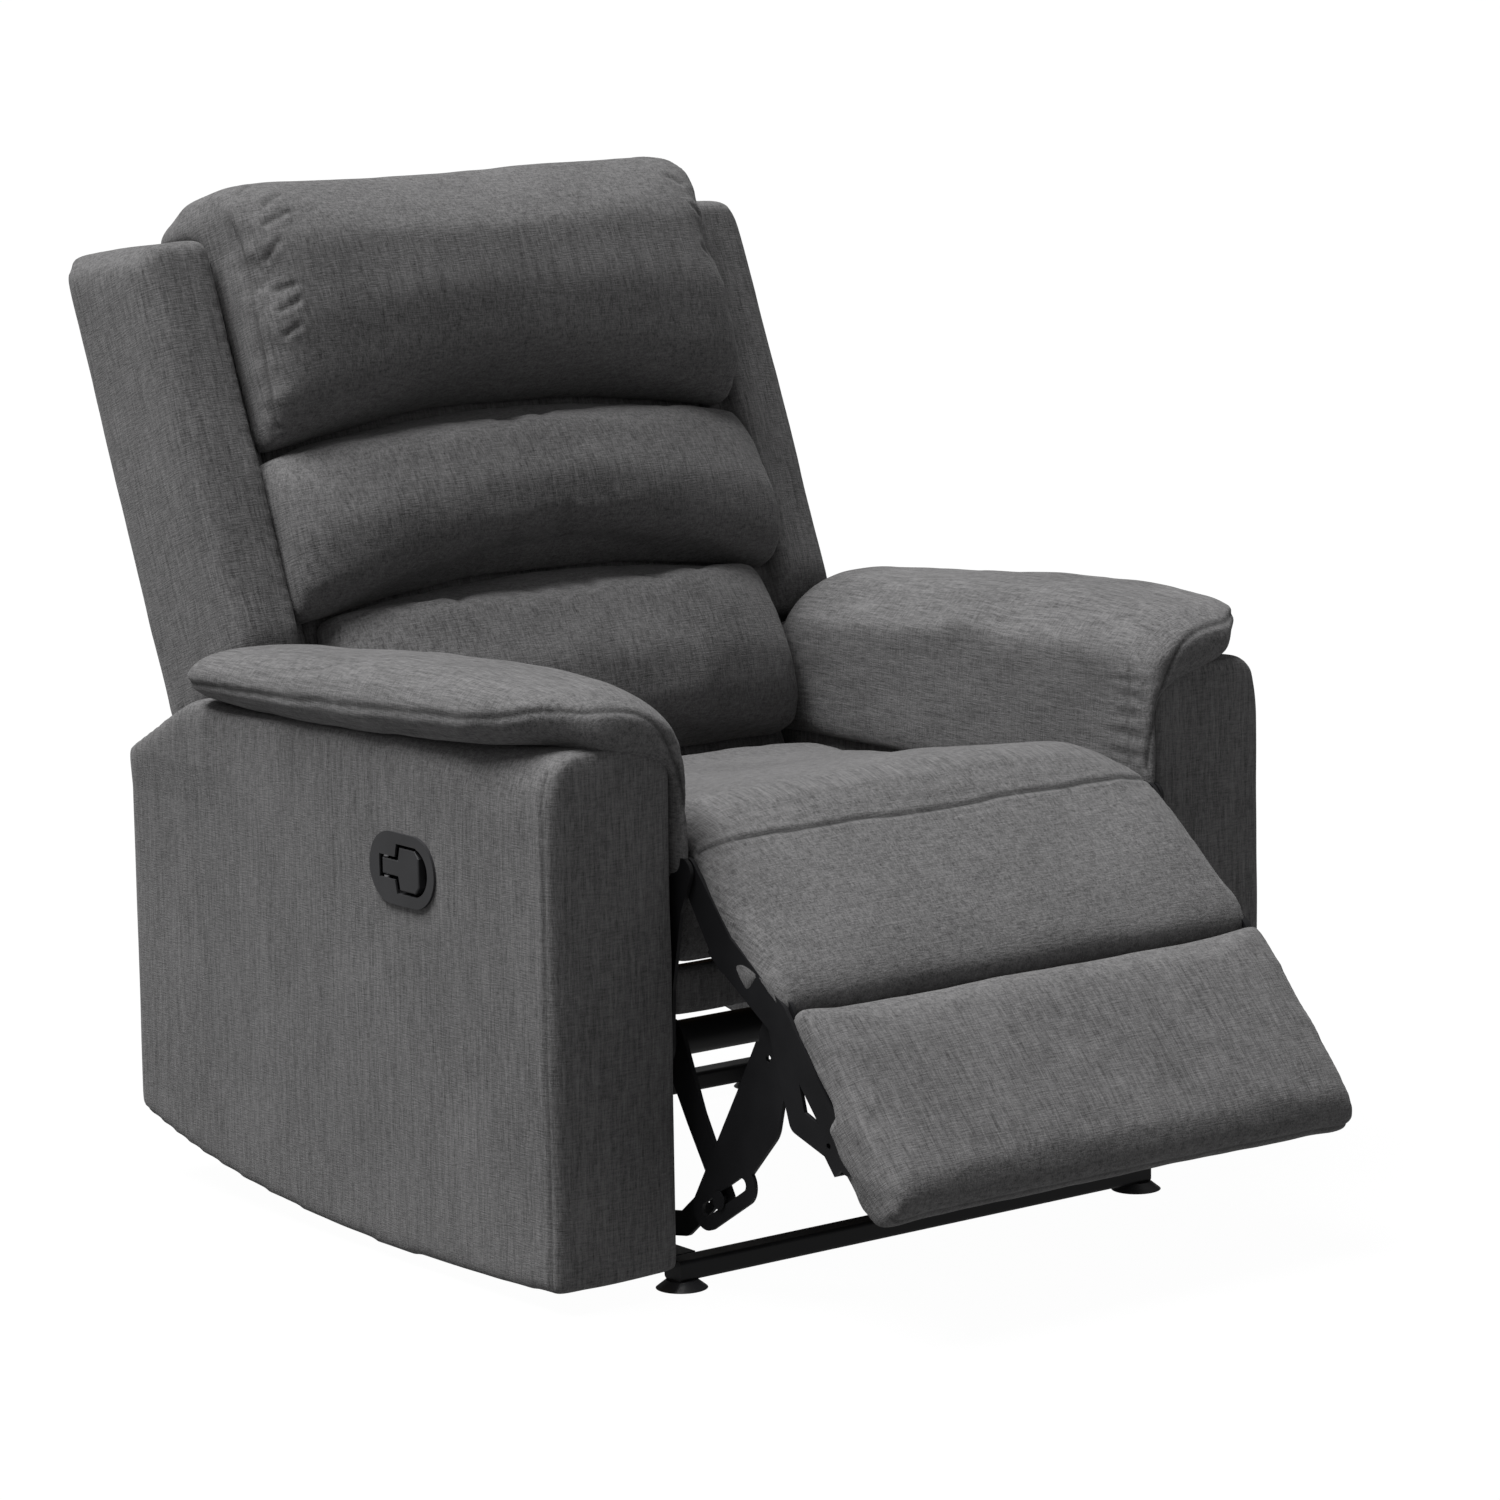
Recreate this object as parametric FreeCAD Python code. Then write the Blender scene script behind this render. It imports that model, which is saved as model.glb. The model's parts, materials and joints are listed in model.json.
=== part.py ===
"""Recliner armchair with a hand release: base, seat unit, leg rest with its linkage, back.

Millimetres. +Z up, the sitter faces -Y, +X is the sitter's left. The chair is drawn with y = 0 at the
arms' front faces and z = 0 on the floor, then moved so that the origin is the middle of its footprint.
"""
import FreeCAD, Part
import math
import os

V = FreeCAD.Vector
X_AXIS = V(1, 0, 0)

# ---------------------------------------------------------------- driving dimensions
# arms
ARM_OUT = 442.0            # outer face of an arm, from the middle plane
ARM_IN = 298.0             # inner face of an arm
ARM_DEPTH = 723.0
ARM_TOP = 505.0            # top of the arm box, under the pad
ARM_PANEL = 14.0           # padded panel thickness
ARM_BOTTOM = [(0, 20), (180, 13), (350, 13), (545, 30), (ARM_DEPTH, 71)]
ARM_REAR_TOP = 443.0
ARM_CHAMFER_Y = 605.0
PAD_FRONT, PAD_REAR = -16.0, 602.0
PAD_IN, PAD_OUT = 284.5, 468.0
PAD_FLAP_Z = 452.0         # lower edge of the flap down the arm's inner face

# layers of the mechanism, each a plate's inner face from the middle plane
PLATE = 4.0
CRANK_X = 272.0
LINK_X = 278.0
BRACKET_X = 284.0
SIDE_PLATE_X = 290.0

# pivots as (y, z)
LEG_HINGE = (-5.6, 405.6)
TORQUE_TUBE = (40.0, 235.0)
CRANK_END = (-40.0, 95.0)
LINK_TOP = (-139.0, 287.5)
SEAT_TILT = (350.0, 150.0)
BACK_HINGE = (640.0, 300.0)
LATCH_PIVOT = (112.0, 235.0)

# leg rest, resting half open
CALF_SLOPE = 37.7
FOOT_SLOPE = 49.0
CALF_LENGTH = 190.0
FOOT_LENGTH = 210.0
HINGE_ROUND = 22.0         # the calf pad is rounded about its hinge
LEG_HALF = 271.0           # half width of its pads and boards, inside the links
PAD_DEPTH = 2 * HINGE_ROUND
BOARD = 14.0
KNOB = (-179.0, 196.0)
LOBE_TIP = (-214.0, 181.0)

# the slot in the link takes up what the pivots' true arcs differ from the coupled ones
SLOT_ANGLE = -32.15
SLOT_UP = -40.6
SLOT_DOWN = 24.9
PIN_R = 5.0
BOLT_R = 3.5
SLOT_HALF = 6.5

# seat box
SEAT_HALF = 283.0
BOX_FRONT, BOX_REAR = 40.0, 600.0
BOX_BOTTOM, BOX_TOP = 262.0, 300.0
SEAT_FRONT, SEAT_REAR = 18.0, 512.0
SEAT_BOTTOM, SEAT_TOP = 306.0, 452.0
APRON_BOTTOM = 260.0
SPRING_XS = (-190.0, -95.0, 0.0, 95.0, 190.0)
BOLT_YS = (200.0, 300.0, 400.0, 500.0)

# back, drawn along its own tilted lines
BACK_TILT = 22.0
BACK_FOOT = (563.0, 445.0)   # point on the seam plane at seat height
SEAM_LOWER, SEAM_UPPER = 134.0, 311.0
LUMBAR_LOW = -46.0
HEAD_TOP = 592.0
BODY_FRONT, BODY_REAR = -30.0, -172.0
BODY_TOP_FRONT, BODY_TOP_REAR = 541.0, 574.0
WING_FRONT, WING_TOP_FRONT = 0.0, 534.0
BACK_HALF = 284.0          # half width of the back's body, level with its brackets
WING_HALF = 380.0
CUSHION_HALF = 306.0
HEAD_HALF = 300.0
LUMBAR_HALF = 277.0
UPRIGHT_IN, UPRIGHT_OUT = 252.0, 276.0

# base
RAIL_IN, RAIL_OUT = 259.0, 284.0
RAIL_BOTTOM, RAIL_TOP = 8.0, 28.0
BASE_FRONT, BASE_REAR = 4.0, 640.0
GLIDE_X = 286.0
BAR_HALF = 296.0

# handle
HANDLE = (234.5, 392.0)
HANDLE_LONG, HANDLE_HIGH = 108.0, 70.0
CUP_DEPTH = 24.0
CUP_INSET = 11.0           # from the bezel's rim to its cup
NECK_HALF, GRIP_HALF = 8.0, 21.0
LEVER_GAP = 3.2            # round the lever, in the bezel's face
CABLE_R = 2.5
CABLE_HOLE_Y = 220.0       # where the cable leaves the arm
RUN = 0.05                 # radial running clearance of a pin in its bore


# ---------------------------------------------------------------- small helpers
def box(x0, x1, y0, y1, z0, z1):
    return Part.makeBox(x1 - x0, y1 - y0, z1 - z0, V(x0, y0, z0))


def slab(points, x0, x1):
    """Polygon of (y, z) points, extruded from x0 to x1."""
    wire = Part.makePolygon([V(x0, y, z) for y, z in points] + [V(x0, *points[0])])
    return Part.Face(wire).extrude(V(x1 - x0, 0, 0))


def rod(centre, radius, x0, x1):
    """Cylinder along X through (y, z)."""
    return Part.makeCylinder(radius, x1 - x0, V(x0, *centre), X_AXIS)


def fuse(shapes):
    return shapes[0].multiFuse(shapes[1:]).removeSplitter()


def strap(points, half_widths, x0, thickness=PLATE):
    """Flat bar through (y, z) points, round at each, with the half width given at each point."""
    pieces = []
    for (y, z), r in zip(points, half_widths):
        pieces.append(rod((y, z), r, x0, x0 + thickness))
    for i in range(len(points) - 1):
        (y0, z0), (y1, z1) = points[i], points[i + 1]
        r0, r1 = half_widths[i], half_widths[i + 1]
        length = math.hypot(y1 - y0, z1 - z0)
        uy, uz = (y1 - y0) / length, (z1 - z0) / length
        lean = (r0 - r1) / length
        side = math.sqrt(1 - lean * lean)
        corners = []
        for (y, z), r, sign in (((y0, z0), r0, 1), ((y1, z1), r1, 1), ((y1, z1), r1, -1), ((y0, z0), r0, -1)):
            ny = uy * lean - sign * uz * side
            nz = uz * lean + sign * uy * side
            corners.append((y + ny * r, z + nz * r))
        pieces.append(slab(corners, x0, x0 + thickness))
    return fuse(pieces)


def mirrored(shape):
    return shape.mirror(V(0, 0, 0), X_AXIS)


def both(shape):
    """The same piece on each side, as one group of two solids."""
    return Part.Compound([shape, mirrored(shape)])


def rounded(shape, radius, chooser):
    return shape.makeFillet(radius, [e for e in shape.Edges if chooser(e)])


def along_x(edge):
    a, b = edge.Vertexes[0].Point, edge.Vertexes[-1].Point
    return abs(a.x - b.x) > 1 and abs(a.y - b.y) < 0.01 and abs(a.z - b.z) < 0.01


def in_side_plane(edge):
    a, b = edge.Vertexes[0].Point, edge.Vertexes[-1].Point
    return abs(a.x - b.x) < 0.01


def bolt(centre, radius, x0, x1, head=7.5, head_thickness=2.0, head_at_end=True):
    """Pin along X with a low round head."""
    shank = rod(centre, radius, x0, x1)
    if head_at_end:
        cap = rod(centre, head, x1, x1 + head_thickness)
    else:
        cap = rod(centre, head, x0 - head_thickness, x0)
    return fuse([shank, cap])


def swept(route, radius, start_direction):
    """Round wire or tube along straight runs joined by tangent arcs."""
    edges = []
    start = route[0]
    for before, corner, after in zip(route, route[1:], route[2:]):
        into = (corner - before).normalize()
        out = (after - corner).normalize()
        turn = math.acos(into.dot(out))
        cut = 0.45 * min((corner - before).Length, (after - corner).Length)
        bend = cut / math.tan(turn / 2)
        entry, leave = corner - into * cut, corner + out * cut
        inward = (out - into).normalize()
        middle = corner + inward * (bend / math.cos(turn / 2) - bend)
        edges.append(Part.LineSegment(start, entry).toShape())
        edges.append(Part.Arc(entry, middle, leave).toShape())
        start = leave
    edges.append(Part.LineSegment(start, route[-1]).toShape())
    section = Part.Wire([Part.Circle(route[0], start_direction, radius).toShape()])
    return Part.Wire(edges).makePipeShell([section], True, True)


# ---------------------------------------------------------------- leg rest geometry
def on_leg(distance, depth):
    """Point on the leg rest: distance from the hinge along the panel, depth below its top face."""
    calf = math.radians(CALF_SLOPE)
    foot = math.radians(FOOT_SLOPE)
    top = HINGE_ROUND
    y, z = LEG_HINGE
    if distance <= CALF_LENGTH:
        y -= distance * math.cos(calf)
        z -= distance * math.sin(calf)
        angle = calf
    else:
        extra = distance - CALF_LENGTH
        y -= CALF_LENGTH * math.cos(calf) + extra * math.cos(foot)
        z -= CALF_LENGTH * math.sin(calf) + extra * math.sin(foot)
        angle = foot
    lift = top - depth
    return (y - math.sin(angle) * lift, z + math.cos(angle) * lift)


def on_back(height, forward):
    """Point on the back: height along its seam plane, forward of that plane."""
    t = math.radians(BACK_TILT)
    y = BACK_FOOT[0] + height * math.sin(t) - forward * math.cos(t)
    z = BACK_FOOT[1] + height * math.cos(t) + forward * math.sin(t)
    return (y, z)


# ---------------------------------------------------------------- base
def base_parts():
    rail = box(RAIL_IN, RAIL_OUT, 30, BASE_REAR - 26, RAIL_BOTTOM, RAIL_TOP)
    front_bar = box(-BAR_HALF, BAR_HALF, BASE_FRONT, BASE_FRONT + 26, RAIL_BOTTOM, RAIL_TOP)
    front_bar = rounded(front_bar, 4, along_x)
    rear_bar = box(-RAIL_OUT, RAIL_OUT, BASE_REAR - 26, BASE_REAR, RAIL_BOTTOM, RAIL_TOP)
    rear_bar = rounded(rear_bar, 4, along_x)
    glides = []
    for x in (-GLIDE_X, GLIDE_X):
        glides.append(Part.makeCone(25, 15, RAIL_BOTTOM, V(x, BASE_FRONT + 12, 0)))
        x_rear = math.copysign(RAIL_OUT - 18, x)
        glides.append(Part.makeCone(22, 14, RAIL_BOTTOM, V(x_rear, BASE_REAR - 20, 0)))
    y, z = SEAT_TILT
    ear = slab([(y - 75, RAIL_BOTTOM), (y + 75, RAIL_BOTTOM), (y + 75, RAIL_TOP + 6), (y + 24, z),
                (y - 24, z), (y - 75, RAIL_TOP + 6)], BRACKET_X, BRACKET_X + PLATE)
    ear = fuse([ear, rod(SEAT_TILT, 24, BRACKET_X, BRACKET_X + PLATE)])
    ear = ear.cut(rod(SEAT_TILT, 6 + RUN, BRACKET_X - 1, BRACKET_X + PLATE + 1))
    strut = strap([(86, RAIL_TOP + 18), (38, 54), (2, 84)], [12, 12, 12], RAIL_IN + 2)
    foot_tab = slab([(74, RAIL_TOP), (110, RAIL_TOP), (96, RAIL_TOP + 24), (80, RAIL_TOP + 24)],
                    RAIL_IN + 2, RAIL_IN + 2 + PLATE)
    strut = fuse([strut, foot_tab]).cut(rod((2, 84), 4, RAIL_IN, RAIL_IN + 10))
    return {
        "base_rails": both(rail),
        "front_floor_bar": front_bar,
        "rear_floor_bar": rear_bar,
        "floor_glides": Part.Compound(glides),
        "tilt_brackets": both(ear),
        "front_struts": both(strut),
    }


# ---------------------------------------------------------------- seat unit
def rail_bolt(y):
    """Where a bolt joins side rail, side plate and arm: the flange rises a little to the rear."""
    return (y, 266 + 0.03 * y)


def side_plate():
    x = SIDE_PLATE_X
    horn = strap([LEG_HINGE, (12, 370), (34, 292), TORQUE_TUBE], [13, 15, 22, 26], x)
    flange = strap([TORQUE_TUBE, (200, 262), (520, 272), BACK_HINGE], [26, 22, 22, 26], x)
    tab = slab([(262, 262), (438, 266), (374, SEAT_TILT[1]), (326, SEAT_TILT[1])], x, x + PLATE)
    plate = fuse([horn, flange, tab, rod(SEAT_TILT, 24, x, x + PLATE)])
    for centre, radius in ((LEG_HINGE, 5), (TORQUE_TUBE, 10 + RUN), (SEAT_TILT, 5), (BACK_HINGE, 6)):
        plate = plate.cut(rod(centre, radius, x - 1, x + PLATE + 1))
    for y in BOLT_YS:
        plate = plate.cut(rod(rail_bolt(y), BOLT_R, x - 1, x + PLATE + 1))
    return plate


def seat_spring(x):
    """Zig-zag spring wire across the seat box, front to rear."""
    pitch, half, wire_r, z = 34.0, 20.0, 2.0, BOX_TOP + 3.0
    points = [V(x, BOX_FRONT + 11, z), V(x, BOX_FRONT + 25, z)]
    y = BOX_FRONT + 42
    side = 1
    while y < BOX_REAR - 45:
        points.append(V(x + side * half, y, z))
        points.append(V(x + side * half, y + pitch * 0.55, z))
        y += pitch
        side = -side
    points.append(V(x, BOX_REAR - 28, z))
    points.append(V(x, BOX_REAR - 14, z))
    return swept(points, wire_r, V(0, 1, 0))


def seat_parts():
    plate = side_plate()
    rail = box(262, SIDE_PLATE_X, BOX_FRONT, BOX_REAR, BOX_BOTTOM, BOX_TOP)
    front = box(-262, 262, BOX_FRONT, BOX_FRONT + 24, BOX_BOTTOM, BOX_TOP)
    rear = box(-262, 262, BOX_REAR - 24, BOX_REAR, BOX_BOTTOM, BOX_TOP)
    springs = Part.Compound([seat_spring(x) for x in SPRING_XS])
    clips = []
    for x in SPRING_XS:
        for y in (BOX_FRONT + 2, BOX_REAR - 14):
            clips.append(box(x - 8, x + 8, y, y + 9, BOX_TOP, BOX_TOP + 6))
    cushion_side = [(SEAT_FRONT, SEAT_BOTTOM), (SEAT_REAR, SEAT_BOTTOM), (SEAT_REAR, SEAT_TOP - 42),
                    (300, SEAT_TOP - 20), (140, SEAT_TOP), (70, SEAT_TOP - 2), (SEAT_FRONT, SEAT_TOP - 24)]
    cushion = slab(cushion_side, -SEAT_HALF, SEAT_HALF)
    cushion = rounded(cushion, 12, in_side_plane)
    apron = box(-SEAT_HALF, SEAT_HALF, 22, BOX_FRONT, APRON_BOTTOM, SEAT_BOTTOM)
    apron = rounded(apron, 5, along_x)
    collar_x = BRACKET_X + PLATE + 0.3
    tilt_pin = fuse([bolt(SEAT_TILT, 6, BRACKET_X - 1, collar_x, 11, 2, False),
                     rod(SEAT_TILT, 11, collar_x, SIDE_PLATE_X),
                     rod(SEAT_TILT, 5, SIDE_PLATE_X, SIDE_PLATE_X + PLATE)])
    leg_pin = bolt(LEG_HINGE, 5, BRACKET_X - 2.5, SIDE_PLATE_X + PLATE, 8, 2, False)
    back_pin = bolt(BACK_HINGE, 6, BRACKET_X - 1, SIDE_PLATE_X + PLATE, 11, 2, False)
    rail_bolts = []
    for y in BOLT_YS:
        rail_bolts.append(bolt(rail_bolt(y), BOLT_R, SIDE_PLATE_X - 20, SIDE_PLATE_X + PLATE, 6.5,
                               ARM_IN - SIDE_PLATE_X - PLATE))
        rail = rail.cut(rod(rail_bolt(y), BOLT_R, SIDE_PLATE_X - 20, SIDE_PLATE_X + 1))
    return {
        "side_plate_left": plate,
        "side_plate_right": mirrored(plate),
        "seat_side_rails": both(rail),
        "seat_cross_rails": Part.Compound([front, rear]),
        "seat_springs": springs,
        "spring_clips": Part.Compound(clips),
        "seat_cushion": cushion,
        "seat_apron": apron,
        "hinge_pins": Part.Compound([both(tilt_pin), both(leg_pin), both(back_pin)]),
        "side_plate_bolts": both(Part.Compound(rail_bolts)),
    }


# ---------------------------------------------------------------- arms
def arm_side(inset=0.0):
    """Side outline of an arm box: curved foot, cut-back rear top corner."""
    foot = [(y, z + inset) for y, z in ARM_BOTTOM]
    foot[0] = (inset, foot[0][1])
    foot[-1] = (ARM_DEPTH - inset, foot[-1][1] + inset * 0.2)
    top = [(ARM_DEPTH - inset, ARM_REAR_TOP - inset * 0.5), (ARM_CHAMFER_Y - inset * 0.4, ARM_TOP - inset),
           (inset, ARM_TOP - inset)]
    return foot, top


def arm_slab(x0, x1, inset=0.0):
    foot, top = arm_side(inset)
    curve = Part.BSplineCurve()
    curve.interpolate([V(x0, y, z) for y, z in foot])
    edges = [curve.toShape()]
    points = [V(x0, *foot[-1])] + [V(x0, y, z) for y, z in top] + [V(x0, *foot[0])]
    for a, b in zip(points, points[1:]):
        edges.append(Part.LineSegment(a, b).toShape())
    return Part.Face(Part.Wire(edges)).extrude(V(x1 - x0, 0, 0))


def handle_oval(grow, x0, x1):
    """Oval block centred on the handle: two half discs and a middle."""
    y, z = HANDLE
    r = HANDLE_HIGH / 2 + grow
    reach = (HANDLE_LONG - HANDLE_HIGH) / 2
    ends = [rod((y - reach, z), r, x0, x1), rod((y + reach, z), r, x0, x1)]
    return fuse(ends + [box(x0, x1, y - reach, y + reach, z - r, z + r)])


def arm_pad():
    """Pillow over the arm box with a flap down its inner face; lower at the rear."""
    def section(y, crown):
        points = [(ARM_IN - 0.5, ARM_TOP), (ARM_OUT, ARM_TOP), (PAD_OUT - 6, ARM_TOP + 14),
                  (PAD_OUT, ARM_TOP + 30), (PAD_OUT - 16, crown - 22), (PAD_OUT - 66, crown),
                  (ARM_IN + 40, crown - 2),
                  (PAD_IN + 14, crown - 22), (PAD_IN, crown - 50), (PAD_IN, PAD_FLAP_Z),
                  (ARM_IN - 0.5, PAD_FLAP_Z)]
        return Part.makePolygon([V(x, y, z) for x, z in points] + [V(points[0][0], y, points[0][1])])
    wires = [section(PAD_FRONT, 566), section(40, 583), section(300, 581), section(PAD_REAR, 552)]
    pad = Part.makeLoft(wires, True, True)
    corner = Part.makePolygon([V(PAD_OUT + 6, 130, 400), V(PAD_OUT + 6, -60, 400), V(376, -60, 400),
                               V(392, PAD_FRONT - 1, 400), V(PAD_OUT - 22, 36, 400), V(PAD_OUT + 6, 130, 400)])
    return pad.cut(Part.Face(corner).extrude(V(0, 0, 300)))


def arm_parts():
    outer = arm_slab(ARM_OUT - ARM_PANEL, ARM_OUT)
    inner = arm_slab(ARM_IN, ARM_IN + ARM_PANEL)
    core = arm_slab(ARM_IN + ARM_PANEL, ARM_OUT - ARM_PANEL)
    front = core.common(box(0, 500, -1, ARM_PANEL, 0, 600))
    frame = core.cut(box(0, 500, -1, ARM_PANEL, 0, 600))
    hole = arm_slab(0, 500, 46).common(box(0, 500, 66, 670, 0, 600))
    frame = frame.cut(hole)
    pad = arm_pad()
    bore = handle_oval(-7.0, -ARM_OUT - 1, -ARM_OUT + ARM_PANEL + 1)
    arm_z = LATCH_PIVOT[1] - 26
    cable_hole = strap([(CABLE_HOLE_Y + 2, arm_z), (CABLE_HOLE_Y - 15, arm_z)], [5, 5],
                       -ARM_IN - ARM_PANEL - 1, ARM_PANEL + 2)
    return {
        "arm_outer_panel_left": outer,
        "arm_outer_panel_right": mirrored(outer).cut(bore),
        "arm_inner_panel_left": inner,
        "arm_inner_panel_right": mirrored(inner).cut(cable_hole),
        "arm_front_panel_left": front,
        "arm_front_panel_right": mirrored(front),
        "arm_frame_left": frame,
        "arm_frame_right": mirrored(frame),
        "arm_pad_left": pad,
        "arm_pad_right": mirrored(pad),
    }


# ---------------------------------------------------------------- release handle
def lever_outline(gap=0.0):
    """T-shaped lever: narrow neck to the rear, broad grip to the front."""
    y, z = HANDLE
    neck, grip = NECK_HALF + gap, GRIP_HALF + gap
    upper = [(y + 34 + gap, z + neck), (y + 8 + gap, z + neck), (y + 5 + gap, z + grip),
             (y - 21 - gap, z + grip), (y - 27 - gap, z + grip - 7)]
    return upper + [(py, 2 * z - pz) for py, pz in reversed(upper)]


LEVER_PIVOT_Y = HANDLE[0] + 29.0
LEVER_PIVOT_X = -ARM_OUT - 1.0
PIN_HALF = 17.0


def pivot_rod(radius, low, high):
    """Upright cylinder on the lever's pivot, between heights above the handle's middle."""
    return Part.makeCylinder(radius, high - low, V(LEVER_PIVOT_X, LEVER_PIVOT_Y, HANDLE[1] + low))


def handle_bezel():
    """Oval face with a T-shaped mouth and a finger space, over a cup; posts inside carry the lever's pin."""
    face = -ARM_OUT
    y, z = HANDLE
    rim = handle_oval(0.0, face - 5, face)
    rim = rim.fuse(handle_oval(-7.3, face, face + CUP_DEPTH)).removeSplitter()
    cup = handle_oval(-CUP_INSET, face - 3, face + CUP_DEPTH - 3)
    mouth = slab(lever_outline(LEVER_GAP), face - 6, face - 2)
    finger_space = handle_oval(-CUP_INSET, face - 6, face - 2).common(
        box(face - 6, face - 2, y - HANDLE_LONG, y - 10, z - HANDLE_HIGH, z + HANDLE_HIGH))
    pieces = [rim.cut(cup).cut(mouth).cut(finger_space)]
    near = NECK_HALF + LEVER_GAP
    for low in (near, -near - 6):
        pieces.append(box(face - 4, face + CUP_DEPTH, LEVER_PIVOT_Y - 4, LEVER_PIVOT_Y + 4,
                          z + low, z + low + 6))
    return fuse(pieces).cut(pivot_rod(1.5, -PIN_HALF, PIN_HALF))


def handle_parts():
    lever = slab(lever_outline(), -ARM_OUT - 4, -ARM_OUT + 4)
    lever = rounded(lever, 1.6, lambda e: max(v.Point.x for v in e.Vertexes) < -ARM_OUT - 3.9)
    lever = lever.cut(pivot_rod(1.5 + RUN, -30, 30))
    pin = pivot_rod(1.5, -PIN_HALF, PIN_HALF)
    coils = []
    for low in (9.2, -10.8):
        coils.append(pivot_rod(3.4, low, low + 1.6).cut(pin))
    return {"handle_bezel": handle_bezel(), "release_lever": lever, "lever_pin": pin,
            "lever_spring": Part.Compound(coils)}


def latch_parts():
    """Pawl beside the torque tube on the sitter's right, its pin, and the cable that draws it."""
    x = -SIDE_PLATE_X + 1.0
    y, z = LATCH_PIVOT
    pawl = strap([(y, z), (y - 28, z + 4), (y - 40, z - 6)], [9, 6, 4], x, 3.0)
    arm = strap([(y, z), (y + 6, z - 26)], [9, 5], x, 3.0)
    pawl = fuse([pawl, arm])
    pawl = pawl.cut(rod(LATCH_PIVOT, 4 + RUN, x - 1, x + 5)).cut(rod((y + 6, z - 26), 1.6, x - 1, x + 5))
    pin = rod(LATCH_PIVOT, 4, -SIDE_PLATE_X, x + 3.6)
    cap = rod(LATCH_PIVOT, 7, x + 3.6, x + 5.2)
    return {"latch_pawl": pawl, "latch_pin": fuse([pin, cap]), "release_cable": release_cable()}


def release_cable():
    """Sheathed cable inside the right arm, from the finger cup to the pawl: straight runs and arcs."""
    pawl_x = -SIDE_PLATE_X + 2.5
    arm_z = LATCH_PIVOT[1] - 26
    route = [V(-ARM_OUT + CUP_DEPTH, 262, 384), V(-380, 262, 384), V(-380, CABLE_HOLE_Y, arm_z),
             V(pawl_x, CABLE_HOLE_Y, arm_z), V(pawl_x, LATCH_PIVOT[0] + 18, arm_z)]
    return swept(route, CABLE_R, X_AXIS)


# ---------------------------------------------------------------- leg rest
def leg_panel(near, far, depth_top, depth_bottom):
    points = [on_leg(near, depth_top), on_leg(far, depth_top), on_leg(far, depth_bottom),
              on_leg(near, depth_bottom)]
    return slab(points, -LEG_HALF, LEG_HALF)


def board_tab(near, far):
    """Flange bent inward from a bracket, under a board."""
    deep = PAD_DEPTH + BOARD
    points = [on_leg(near, deep), on_leg(far, deep), on_leg(far, deep + 3), on_leg(near, deep + 3)]
    return slab(points, LEG_HALF - 24, BRACKET_X + PLATE)


def leg_bracket():
    """Plate beside the leg rest, with a lobe for the link and two tabs for the boards."""
    x = BRACKET_X
    upper = on_leg(82, PAD_DEPTH - 1)
    knee = on_leg(CALF_LENGTH + 8, PAD_DEPTH - 10)
    heel = on_leg(CALF_LENGTH + 146, PAD_DEPTH - 8)
    arm = strap([LEG_HINGE, upper, LINK_TOP, knee, heel], [13, 18, 17, 14, 12], x)
    lobe = strap([LINK_TOP, (-168, 196), LOBE_TIP], [16, 13, 12], x)
    near, far = CALF_LENGTH + 102, CALF_LENGTH + 146
    deep = PAD_DEPTH + BOARD + 3
    drop = slab([on_leg(near, PAD_DEPTH - 8), on_leg(far, PAD_DEPTH - 8), on_leg(far, deep), on_leg(near, deep)],
                x, x + PLATE)
    bracket = fuse([arm, lobe, drop, board_tab(68, 96), board_tab(near, far)])
    for centre, radius in ((LEG_HINGE, PIN_R + RUN), (LINK_TOP, PIN_R), (KNOB, 3), (LOBE_TIP, 3)):
        bracket = bracket.cut(rod(centre, radius, x - 1, x + PLATE + 1))
    return bracket


def leg_parts():
    calf = leg_panel(0, CALF_LENGTH - 3, 0, PAD_DEPTH)
    calf = fuse([calf, rod(LEG_HINGE, HINGE_ROUND, -LEG_HALF, LEG_HALF)])
    foot = leg_panel(CALF_LENGTH + 3.5, CALF_LENGTH + FOOT_LENGTH, 0, PAD_DEPTH)
    end_edges = [e for e in foot.Edges if along_x(e)]
    end_edges.sort(key=lambda e: e.Vertexes[0].Point.z)
    foot = foot.makeFillet(14, end_edges[:2])
    link_pin = bolt(LINK_TOP, PIN_R, LINK_X - 1.5, BRACKET_X + PLATE, 9, 2, False)
    knob = bolt(KNOB, 3, BRACKET_X, BRACKET_X + PLATE, 6, 1.5, False)
    bracket = leg_bracket()
    return {
        "calf_pad": calf,
        "foot_pad": foot,
        "calf_board": leg_panel(62, CALF_LENGTH - 4, PAD_DEPTH, PAD_DEPTH + BOARD),
        "foot_board": leg_panel(CALF_LENGTH + 8, CALF_LENGTH + FOOT_LENGTH - 26, PAD_DEPTH, PAD_DEPTH + BOARD),
        "leg_bracket_left": bracket,
        "leg_bracket_right": mirrored(bracket),
        "leg_bracket_bolts": Part.Compound([both(link_pin), both(knob)]),
    }


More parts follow.
